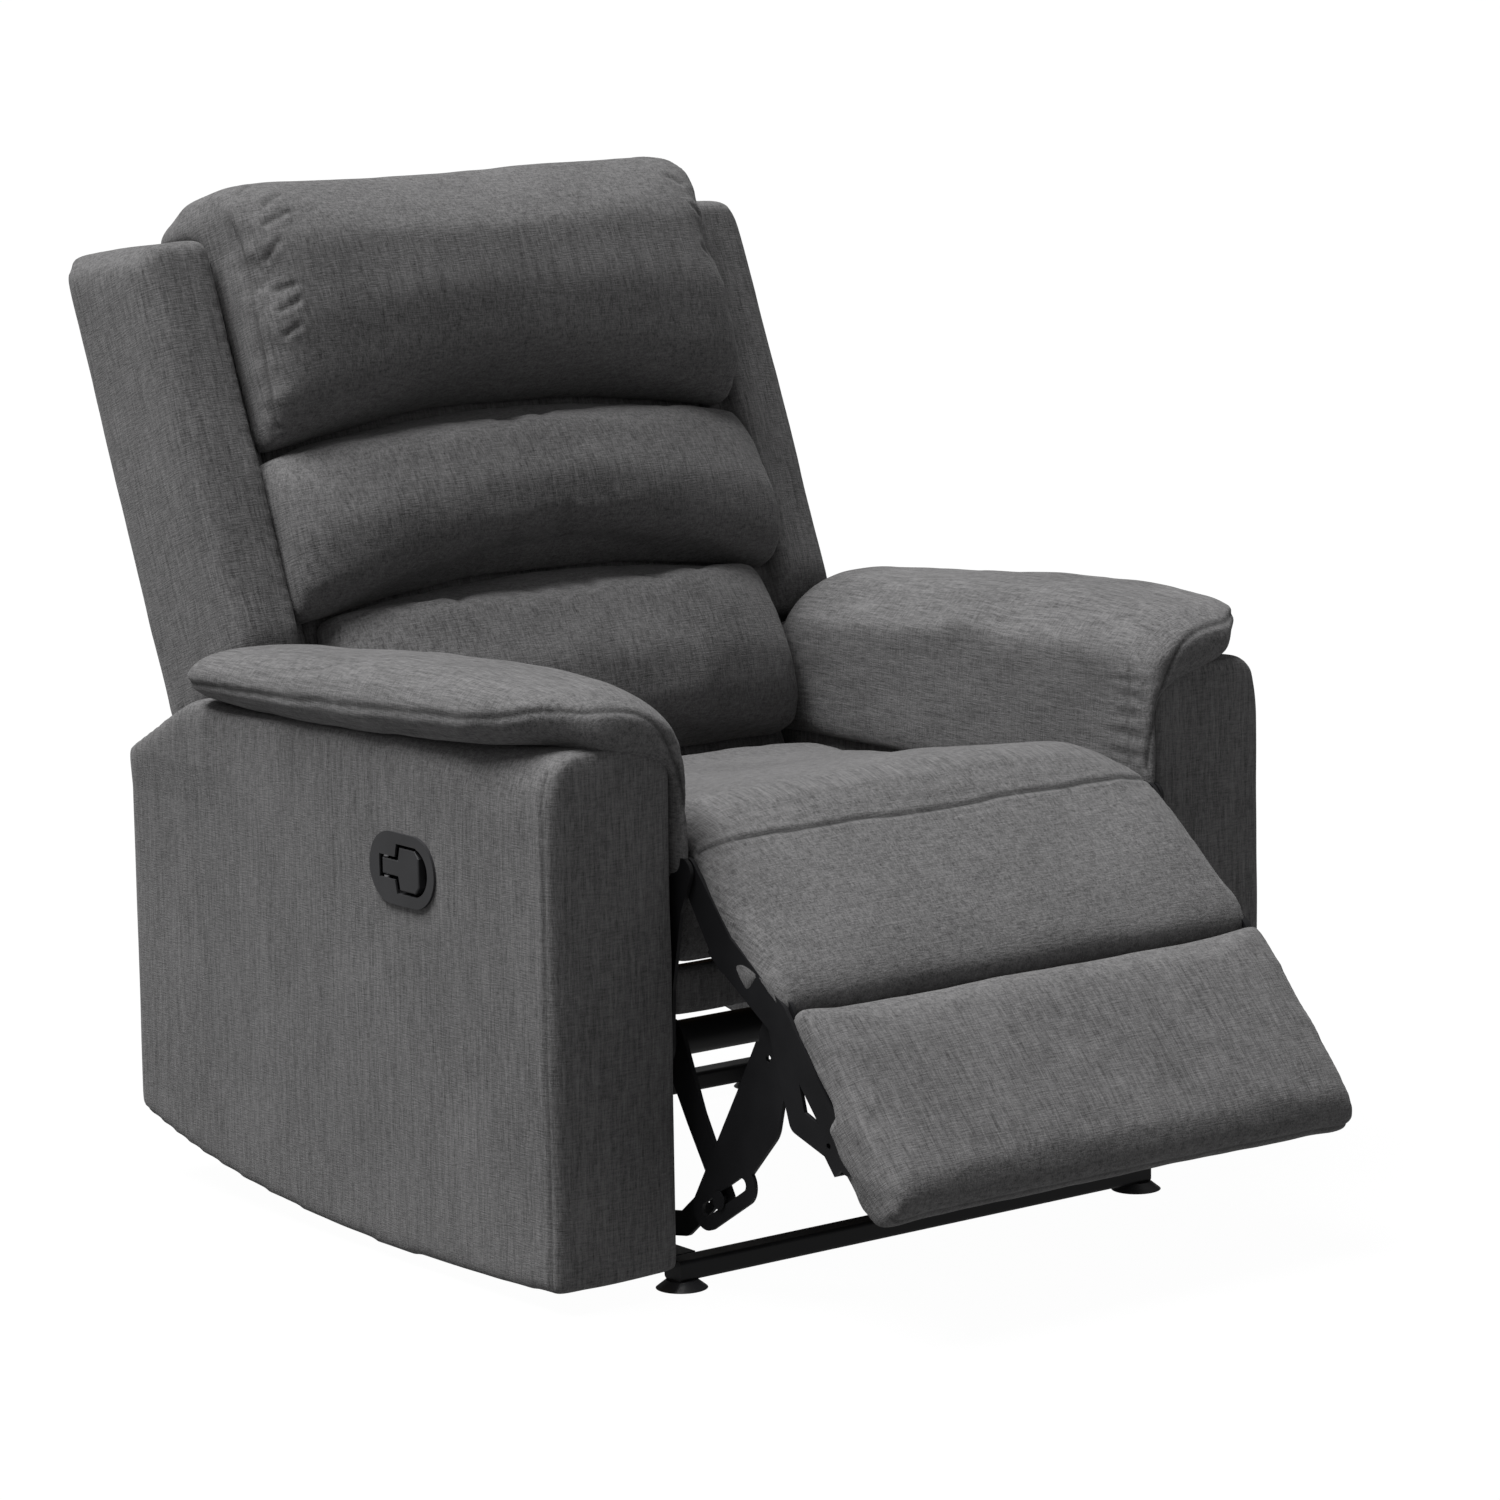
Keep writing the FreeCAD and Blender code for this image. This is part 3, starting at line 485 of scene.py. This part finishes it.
def timber(name):
    mat, nodes, links, bsdf = material(name)
    place_at = nodes.new("ShaderNodeTexCoord").outputs["Object"]
    rings = stretched(nodes, links, place_at, (16, 5, 70), 4.0, 0.6)
    ramp = nodes.new("ShaderNodeValToRGB")
    ramp.color_ramp.elements[0].position = 0.35
    ramp.color_ramp.elements[0].color = (0.30, 0.19, 0.10, 1)
    ramp.color_ramp.elements[1].position = 0.65
    ramp.color_ramp.elements[1].color = (0.52, 0.37, 0.22, 1)
    links.new(rings, ramp.inputs["Fac"])
    links.new(ramp.outputs["Color"], bsdf.inputs["Base Color"])
    bsdf.inputs["Roughness"].default_value = 0.65
    node = nodes.new("ShaderNodeBump")
    node.inputs["Strength"].default_value = 0.2
    node.inputs["Distance"].default_value = 0.0006
    links.new(rings, node.inputs["Height"])
    links.new(node.outputs["Normal"], bsdf.inputs["Normal"])
    return mat


CLOTH = woven("charcoal_linen_weave", (0.036, 0.0355, 0.036), (0.163, 0.160, 0.1615))
FINISHES = {
    "black_steel": coated("black_powder_coat", (0.007, 0.007, 0.008), 0.5, 0.0, 1400.0, 0.25, 0.5, 0.3),
    "spring_wire": coated("drawn_spring_wire", (0.40, 0.40, 0.41), 0.34, 1.0, 600.0, 0.10),
    "frame_wood": timber("sawn_frame_wood"),
    "black_plastic": coated("moulded_black_plastic", (0.027, 0.027, 0.029), 0.40, 0.0, 1900.0, 0.30, 0.4, 0.5),
    "webbing": coated("black_webbing", (0.02, 0.02, 0.021), 0.85, 0.0, 1200.0, 0.6),
}


# ---------------------------------------------------------------- seat and leg rest
def leg_measures(co):
    """Distance along the leg rest from its hinge, and depth below its top face."""
    y, z = co[:, 1] - HINGE[0], co[:, 2] - HINGE[1]
    calf = -y * math.cos(CALF_SLOPE) - z * math.sin(CALF_SLOPE)
    depth = HINGE_ROUND + y * math.sin(CALF_SLOPE) - z * math.cos(CALF_SLOPE)
    knee_y = -CALF_LENGTH * math.cos(CALF_SLOPE)
    knee_z = -CALF_LENGTH * math.sin(CALF_SLOPE)
    foot = CALF_LENGTH - (y - knee_y) * math.cos(FOOT_SLOPE) - (z - knee_z) * math.sin(FOOT_SLOPE)
    foot_depth = HINGE_ROUND + (y - knee_y) * math.sin(FOOT_SLOPE) - (z - knee_z) * math.cos(FOOT_SLOPE)
    past = foot > CALF_LENGTH
    return np.where(past, foot, calf), np.where(past, foot_depth, depth)


def seat_and_calf():
    profile = [(508, 308), (524, 390), (510, 394), (430, 394), (330, 405), (230, 421), (140, 438), (70, 450),
               (35, 450), (8, 441), (-14, 429)]
    profile += [on_leg(d, depth) for d, depth in ((16, -3), (50, -2), (90, 0), (130, 2), (160, 4), (178, 9),
                                                  (186, 18), (185, 50))]
    profile += [on_leg(180, PAD_DEPTH),
                on_leg(130, PAD_DEPTH), on_leg(72, PAD_DEPTH - 1), on_leg(58, 46), on_leg(18, 42), (19, 380),
                (20, 308)]
    obj = prism("seat_and_calf_cushion", profile, SEAT_HALF)
    remesh(obj, 6)
    co = points_of(obj)
    across = co[:, 0] / SEAT_HALF
    rise = np.clip((co[:, 2] - 330) / 110, 0, 1) * (co[:, 1] > -10)
    rise += np.clip((10 - co[:, 1]) / 40, 0, 1) * 0.35 * (co[:, 1] <= 10) * (1 - rise)
    drop = 18 - 8 * np.clip((80 - co[:, 1]) / 80, 0, 1)
    co[:, 2] += rise * (9 - drop * np.abs(across) ** 2.8)
    leg = np.clip((12 - co[:, 1]) / 40, 0, 1)
    co[:, 0] *= 1 + leg * (CALF_HALF / SEAT_HALF - 1)
    place(obj, co)
    smooth(obj, 8)
    inflate(obj, 4.0, 8.0, lambda p: np.clip((p[:, 2] - 312) / 40, 0, 1) * np.where(p[:, 1] > 12, 1, 0.6))
    smooth(obj, 2)
    subdivide(obj)
    push(obj, lambda p, n: 1.1 * wave_noise(p, 130, 3) + 0.4 * wave_noise(p, 48, 4))
    xs = np.linspace(-SEAT_HALF - 6, SEAT_HALF + 6, 9)
    seam(obj, [(x, -12 - 8 * (1 - (x / 290) ** 2), 430) for x in xs], 1.6, 2.6)
    pinch_knee(obj, CALF_PINCH)
    finish_cloth(obj, None, ("seat_cushion", "calf_pad", "calf_board"), (0, 1, 0.30), ride=False)
    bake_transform(obj)
    return obj


def pinch_knee(obj, end):
    """The pads' lower corners pull in beside the links at the knee, as far along the leg rest as end."""
    co = points_of(obj)
    distance, depth = leg_measures(co)
    near = np.clip((distance - 131) / 26, 0, 1) * np.clip((end - distance) / 26, 0, 1)
    near *= np.clip((depth - 22) / 10, 0, 1) * (co[:, 1] < -40)
    side = np.abs(co[:, 0])
    wanted = np.where(side > LINK_CLEAR, LINK_CLEAR + (side - LINK_CLEAR) * 0.12, side)
    co[:, 0] += np.sign(co[:, 0]) * (wanted - side) * near
    place(obj, co)


def foot_cushion():
    far = CALF_LENGTH + FOOT_LENGTH
    profile = [on_leg(d, depth) for d, depth in
               ((186, 30), (186, 12), (190, 5), (205, 1), (240, -1), (300, 0), (350, 2), (385, 5),
                (far - 4, 11), (far, 22), (far - 2, 46), (far - 14, 58), (far - 30, DEEP), (310, DEEP),
                (230, PAD_DEPTH), (200, PAD_DEPTH))]
    obj = prism("foot_cushion", profile, LEG_HALF)
    remesh(obj, 6)
    smooth(obj, 5)
    inflate(obj, 4.0, 5.0)
    smooth(obj, 3)
    subdivide(obj)
    push(obj, lambda p, n: 1.0 * wave_noise(p, 120, 8) + 0.4 * wave_noise(p, 45, 9))
    seam(obj, [(x, *on_leg(far + 1, 30)) for x in np.linspace(-LEG_HALF, LEG_HALF, 7)], 1.0, 2.6, dark=0.6)
    pinch_knee(obj, FOOT_PINCH)
    return finish_cloth(obj, "leg_rest", ("foot_pad", "foot_board"), (0, -0.66, -0.75))


def apron():
    obj = from_cad("front_apron", "seat_apron")
    remesh(obj, 5)
    smooth(obj, 4)
    push(obj, lambda p, n: 0.8 * wave_noise(p, 90, 12))
    return finish_cloth(obj, "seat_unit", ("seat_apron",), (0, 0, 1))


# ---------------------------------------------------------------- arms
ARM_IN, ARM_OUT, ARM_TOP = 298.5, 441.5, 505.0
FLAP_FOOT = 388.0           # the pillow's flap goes down beside the seat
REAR_WRAP = 8.0             # the cloth goes round behind the wooden frame


def round_corner(co, first, second, wide, high, edge_first, edge_second, sign=1.0):
    """Rounds the corner where the first axis reaches edge_first and the second reaches edge_second."""
    d1 = np.clip(sign * (co[:, first] - edge_first) + wide, 0, None) / wide
    d2 = np.clip(co[:, second] - (edge_second - high), 0, None) / high
    both = (d1 > 0) & (d2 > 0)
    shrink = np.where(both, np.maximum(d1, d2) / np.maximum(np.hypot(d1, d2), 1e-6), 1.0)
    co[:, first] = np.where(both, edge_first - sign * wide + sign * d1 * shrink * wide, co[:, first])
    co[:, second] = np.where(both, edge_second - high + d2 * shrink * high, co[:, second])


def mirror(obj):
    co = points_of(obj)
    co[:, 0] *= -1
    place(obj, co)
    obj.data.flip_normals()


def cut_handle_hole(obj):
    """The release handle's cup goes through the cloth."""
    low, high = (np.array(corner) * 1000.0 for corner in corners("handle_bezel"))
    middle, half = (low + high) / 2, (high - low) / 2 - 6.0
    reach = half[1] - half[2]
    outline = []
    for step in range(64):
        angle = 2 * math.pi * step / 64
        y = middle[1] + half[2] * math.cos(angle) + reach * np.sign(math.cos(angle))
        outline.append((y, middle[2] + half[2] * math.sin(angle)))
    cutter = prism("handle_cutter", outline, 60)
    co = points_of(cutter)
    co[:, 0] -= ARM_OUT
    place(cutter, co)
    mod = obj.modifiers.new("hole", "BOOLEAN")
    mod.operation = "DIFFERENCE"
    mod.object = cutter
    apply_modifiers(obj)
    bpy.data.objects.remove(cutter)


def arm_body(side):
    name = "left" if side > 0 else "right"
    obj = from_cad("arm_body_" + name, "arm_outer_panel_left")
    co = points_of(obj)
    co[:, 0] = np.where(co[:, 0] < 435, ARM_IN, ARM_OUT)
    place(obj, co)
    remesh(obj, 6)
    co = points_of(obj)
    front = 1 - 0.75 * np.clip((co[:, 1] - 120) / 200, 0, 1)
    round_corner(co, 0, 2, 16 * front, 24 * front, ARM_IN, ARM_TOP, -1.0)
    round_corner(co, 0, 2, 30 * front, 44 * front, ARM_OUT, ARM_TOP)
    co[:, 2] += np.clip((co[:, 2] - 440) / 65, 0, 1) * np.clip((551 - co[:, 1]) * 0.05, 0, 28)
    co[:, 1] += REAR_WRAP * np.clip((co[:, 1] - 560) / 60, 0, 1)
    place(obj, co)
    smooth(obj, 4)
    subdivide(obj)

    def fullness(p, n):
        belly = np.sin(np.clip((p[:, 0] - 298) / 144, 0, 1) * math.pi) * 4.0 * np.clip(-n[:, 1] * 3 - 1.6, 0, 1)
        away = np.clip((p[:, 1] - 10) / 90, 0, 1) * np.clip(np.abs(n[:, 0]) * 3 - 1.6, 0, 1)
        rear_top = np.clip((p[:, 1] - 540) / 40, 0, 1) * np.clip((p[:, 2] - 405) / 40, 0, 1)
        return belly + 2.2 * away + 3.0 * rear_top + 0.7 * wave_noise(p, 210, 21) + 0.2 * wave_noise(p, 60, 22)

    push(obj, fullness)
    seam(obj, [(442.0, 12.0, z) for z in (26, 120, 240, 360, 520)], 1.2, 2.2, dark=0.55)
    if side < 0:
        mirror(obj)
        cut_handle_hole(obj)
    nodes = ["arm_%s_panel_%s" % (kind, name) for kind in ("outer", "inner", "front")]
    return finish_cloth(obj, "seat_unit", nodes, (0, 0, 1))


def lip_height(y):
    """Height of the pillow's outer lower edge: it rises to the front."""
    return 502 + (560 - np.minimum(y, 590)) * 0.068


def cad_crown(y):
    """Height of the middle of the CAD pillow."""
    return np.interp(y, [-18, 40, 300, 590], [566, 583, 581, 552])


def crown(y):
    """Height that the middle of the pillow gets before it swells."""
    return np.interp(y, [-18, 20, 140, 300, 480, 600], [562, 578, 586, 579, 563, 552])


def fuller(co):
    """The pillow's crown and its outer shoulder, rounder than the CAD solid's."""
    x, y, z = co[:, 0], co[:, 1], co[:, 2]
    base = lip_height(y)
    beyond = np.clip((x - 402) / 67, 0, 1)
    before = np.interp(beyond, [0, 0.75, 1], [0, 22, 0]) 
    old_top = np.where(beyond < 0.75, cad_crown(y) - before, np.interp(beyond, [0.75, 1], [1, 0])
                       * (cad_crown(y) - 22) + np.interp(beyond, [0.75, 1], [0, 1]) * 535)
    new_top = base + 24 + (crown(y) - base - 24) * np.sqrt(1 - beyond ** 2.8)
    share = np.clip((z - base) / np.maximum(old_top - base, 8), 0, 1.2)
    lifted = base + share * (new_top - base)
    return np.where((z > base) & (x > 300), lifted, z)


def pad_underside(co):
    """Lowest height of the pillow's outer lip and front: it rises to the front and drops to the flap."""
    side = lip_height(co[:, 1])
    front = np.interp(co[:, 0], [298, 309, 322, 345, 390, 418, 445], [440, 479, 497, 514, 532, 539, 542])
    near = np.clip((70 - co[:, 1]) / 60, 0, 1)
    inner = np.where(co[:, 0] < 330, np.interp(co[:, 0], [298, 330], [440, 505]), side)
    return inner * (1 - near) + front * near


def arm_pad(side):
    name = "left" if side > 0 else "right"
    obj = from_cad("arm_pillow_" + name, "arm_pad_left")
    co = points_of(obj)
    flap_foot = co[:, 2].min()
    co[:, 2] = np.where(co[:, 0] > 299, np.maximum(co[:, 2], pad_underside(co)), co[:, 2])
    flap = (co[:, 0] < 299) & (co[:, 2] < 470)
    co[:, 2] = np.where(flap, 470 - (470 - co[:, 2]) * (470 - FLAP_FOOT) / (470 - flap_foot), co[:, 2])
    place(obj, co)
    remesh(obj, 6)
    co = points_of(obj)
    co[:, 2] = np.where(co[:, 0] > 301, np.maximum(co[:, 2], pad_underside(co)), co[:, 2])
    co[:, 2] = fuller(co)
    place(obj, co)
    remesh(obj, 6)
    smooth(obj, 18)
    inflate(obj, 4.0, 6.0, lambda p: np.clip((p[:, 2] - 500) / 30, 0.25, 1) * np.clip((p[:, 0] - 282) / 8, 0, 1))
    smooth(obj, 3)
    subdivide(obj)
    push(obj, lambda p, n: 1.2 * wave_noise(p, 130, 31) + 0.3 * wave_noise(p, 48, 32))
    line = [(470, y, lip_height(y) + 24) for y in (600, 500, 400, 300, 200, 110)]
    line += [(468, 60, lip_height(60) + 26), (460, 26, 572), (444, 0, 582), (420, -14, 588), (388, -18, 588),
             (352, -18, 578), (326, -16, 556), (306, -12, 520), (292, -6, 478), (286, 0, 430)]
    seam(obj, line, 1.3, 2.8, dark=0.85)
    seam(obj, [(284, 22, 530), (284, 24, 500), (284, 24, 470), (284, 24, 436)], 0.3, 3.0, 0.6, 19, 20, 0.4)
    if side < 0:
        mirror(obj)
    return finish_cloth(obj, "seat_unit", ("arm_pad_" + name,), (0, 1, 0))


# ---------------------------------------------------------------- back
def arched(co, low_end, low_arch, high_end, high_arch):
    """Seams that rise in the middle of the back."""
    height, forward = back_measures(co)
    bow = 1 - np.clip(np.abs(co[:, 0]) / 300, 0, 1.05) ** 2
    share = np.clip((height - low_end) / (high_end - low_end), 0, 1)
    height = height + bow * (low_arch * (1 - share) + high_arch * share)
    return from_back(co[:, 0], height, forward)


def back_roll(name, node, low, low_arch, high, high_arch, half, seed, cap, swell):
    obj = from_cad(name, node)
    remesh(obj, 6)
    co = arched(points_of(obj), low, low_arch, high, high_arch)
    height, forward = back_measures(co)
    ends = np.clip(np.abs(co[:, 0]) / half, 0, 1) ** 5
    forward = np.where(forward > -20, -20 + (forward + 20) * (1 - 0.30 * ends), forward)
    co = from_back(co[:, 0], height, forward)
    place(obj, co)
    smooth(obj, 14, lambda p: np.clip((-18 - back_measures(p)[1]) / 8, 0, 1) * 0.6)
    inflate(obj, 4.0, cap, lambda p: np.clip((back_measures(p)[1] + 20) / 30, 0, 1))
    subdivide(obj)
    push(obj, lambda p, n: swell + 1.4 * wave_noise(p, 120, seed) + 0.5 * wave_noise(p, 45, seed + 1))
    return obj


def head_roll():
    obj = from_cad("head_cushion_cover", "head_cushion")
    remesh(obj, 6)
    co = points_of(obj)
    height, forward = back_measures(co)
    flat = np.stack([np.abs(co[:, 0]), height], axis=1)
    round_corner(flat, 0, 1, HEAD_ROUND, HEAD_ROUND * 0.8, 300, HEAD_TOP)
    x = np.sign(co[:, 0]) * flat[:, 0]
    height = flat[:, 1] + np.clip((flat[:, 1] - 480) / 80, 0, 1) * (7 * (x / 300) ** 2 - 2)
    ends = np.clip(np.abs(x) / 300, 0, 1) ** 6
    forward = np.where(forward > -20, -20 + (forward + 20) * (1 - 0.26 * ends), forward)
    co = arched(from_back(x, height, forward), SEAM_UPPER, ARCH_UPPER, HEAD_TOP, 0)
    place(obj, co)
    smooth(obj, 12, lambda p: np.clip((-18 - back_measures(p)[1]) / 8, 0, 1) * 0.3)
    inflate(obj, 4.0, 12.0, lambda p: np.clip((back_measures(p)[1] + 30) / 40, 0, 1))
    smooth(obj, 12, lambda p: np.clip((-18 - back_measures(p)[1]) / 8, 0, 1) * 0.3)
    subdivide(obj)
    push(obj, lambda p, n: 1.3 * wave_noise(p, 170, 51) + 0.3 * wave_noise(p, 55, 52))
    for side in (-1, 1):
        line = [(side * 297, *on_back(330, 24)), (side * 299, *on_back(400, 34)), (side * 298, *on_back(460, 36)),
                (side * 293, *on_back(510, 34)), (side * 280, *on_back(552, 24)), (side * 252, *on_back(580, 8))]
        seam(obj, line[:3], 1.2, 3.0, 0.3, 31, 20, 0.5)
        seam(obj, line[2:], 1.2, 3.0, 0.4, 27, 26, 0.5, FACING)
        for height, run, rise in CREASES[side]:
            inner = 277 - run - max(height - 520, 0) * 0.35
            crease = [(side * (inner + run), *on_back(height, 55)), (side * inner, *on_back(height + rise, 60))]
            # each gather is a crease with painted shade in it
            seam(obj, crease, 1.5, 3.0, dark=0.45)
    return finish_cloth(obj, "back", ("head_cushion",), (0, math.sin(TILT), math.cos(TILT)))


def wing(side):
    name = "left" if side > 0 else "right"
    obj = from_cad("back_side_" + name, "back_wing_left")
    remesh(obj, 6)
    co = points_of(obj)
    height, forward = back_measures(co)
    forward = forward - WING_LEAN * np.clip((co[:, 0] - 300) / 80, 0, 1) * np.clip((forward + 120) / 100, 0, 1)
    height = height + WING_RISE * np.clip((height - 400) / 120, 0, 1)
    flat = np.stack([co[:, 0], height + WING_SLOPE * forward], axis=1)
    round_corner(flat, 0, 1, 24, 24, 380, 542)
    place(obj, from_back(flat[:, 0], flat[:, 1] - WING_SLOPE * forward, forward))
    smooth(obj, 6)
    subdivide(obj)
    push(obj, lambda p, n: (3.2 + 2.0 * np.clip(n[:, 0], 0, 1) + 1.0 * wave_noise(p, 170, 61)
                            + 0.25 * wave_noise(p, 60, 62)))
    if side < 0:
        mirror(obj)
    return finish_cloth(obj, "back", ("back_wing_" + name,), (0, math.sin(TILT), math.cos(TILT)))


def back_body():
    front, rear = -31.0, -171.0
    profile = [on_back(-124, front), on_back(539, front), on_back(572, rear), on_back(-66, rear)]
    obj = prism("back_body", profile, 283)
    remesh(obj, 8)
    smooth(obj, 3)
    subdivide(obj)
    push(obj, lambda p, n: 1.0 * wave_noise(p, 150, 71))
    return finish_cloth(obj, "back", ("back_shell", "back_cover"), (0, math.sin(TILT), math.cos(TILT)))


# ---------------------------------------------------------------- build
seat_and_calf()
foot_cushion()
apron()
for side in (-1, 1):
    arm_body(side)
    arm_pad(side)
    wing(side)
back_body()
along_back = (0, math.sin(TILT), math.cos(TILT))
lower = back_roll("lumbar_cushion_cover", "lower_cushion", LUMBAR_LOW, 0, SEAM_LOWER, ARCH_LOWER, 277, 81,
                  16, 1.0)
finish_cloth(lower, "back", ("lower_cushion",), along_back)
middle = back_roll("middle_cushion_cover", "middle_cushion", SEAM_LOWER, ARCH_LOWER, SEAM_UPPER, ARCH_UPPER, 306,
                   91, 16, 1.0)
finish_cloth(middle, "back", ("middle_cushion",), along_back)
head_roll()

for part in frame["record"]["subparts"]:
    finish = FINISHES.get(part["material_slot"])
    node = NODES[part["node"]]
    if finish is not None:
        node.data.materials.clear()
        node.data.materials.append(finish)

# ---------------------------------------------------------------- floor, light, camera
floor_mat, floor_nodes, floor_links, floor_bsdf = material("pale_floor")
floor_bsdf.inputs["Base Color"].default_value = (0.02, 0.02, 0.02, 1)
floor_bsdf.inputs["Emission Color"].default_value = (1, 1, 1, 1)
floor_bsdf.inputs["Emission Strength"].default_value = 0.98
floor_bsdf.inputs["Roughness"].default_value = 0.9
floor_bsdf.inputs["Specular IOR Level"].default_value = 0.0
floor_mesh = bpy.data.meshes.new("floor")
FLOOR = 60.0
floor_mesh.from_pydata([(-FLOOR, -FLOOR, 0), (FLOOR, -FLOOR, 0), (FLOOR, FLOOR, 0), (-FLOOR, FLOOR, 0)], [],
                       [(0, 1, 2, 3)])
floor_mesh.materials.append(floor_mat)
floor = new_object("floor", floor_mesh)
floor.visible_diffuse = False
floor.visible_glossy = False

world = bpy.data.worlds.new("studio")
bpy.context.scene.world = world
world.use_nodes = True
world.node_tree.nodes["Background"].inputs["Color"].default_value = (1, 1, 1, 1)
world.node_tree.nodes["Background"].inputs["Strength"].default_value = 0.29

key_data = bpy.data.lights.new("key", "SUN")
key_data.energy = 5.35
key_data.angle = math.radians(34)
key = bpy.data.objects.new("key", key_data)
bpy.context.scene.collection.objects.link(key)
key.rotation_euler = Vector((0.34, -0.17, -0.925)).to_track_quat("-Z", "Y").to_euler()

AZIMUTH, ELEVATION, ROLL = math.radians(-37.45), math.radians(10.16), math.radians(-0.84)
AIM = Vector((0.0, 0.271 + FRONT_Y, 0.449))
DISTANCE = 5.829
LENS, SENSOR = 140.13, 36.0
back_dir = Vector((math.sin(AZIMUTH) * math.cos(ELEVATION), -math.cos(AZIMUTH) * math.cos(ELEVATION),
                   math.sin(ELEVATION)))
right_dir = Vector((math.cos(AZIMUTH), math.sin(AZIMUTH), 0))
up_dir = back_dir.cross(right_dir)
rolled_right = right_dir * math.cos(ROLL) + up_dir * math.sin(ROLL)
rolled_up = up_dir * math.cos(ROLL) - right_dir * math.sin(ROLL)
camera_data = bpy.data.cameras.new("camera")
camera_data.lens = LENS
camera_data.sensor_width = SENSOR
camera_data.clip_end = 200
camera = bpy.data.objects.new("camera", camera_data)
bpy.context.scene.collection.objects.link(camera)
turn = Matrix((rolled_right, rolled_up, back_dir)).transposed()
camera.matrix_world = Matrix.Translation(AIM + back_dir * DISTANCE) @ turn.to_4x4()
bpy.context.scene.camera = camera
bpy.context.scene.view_settings.view_transform = "Standard"
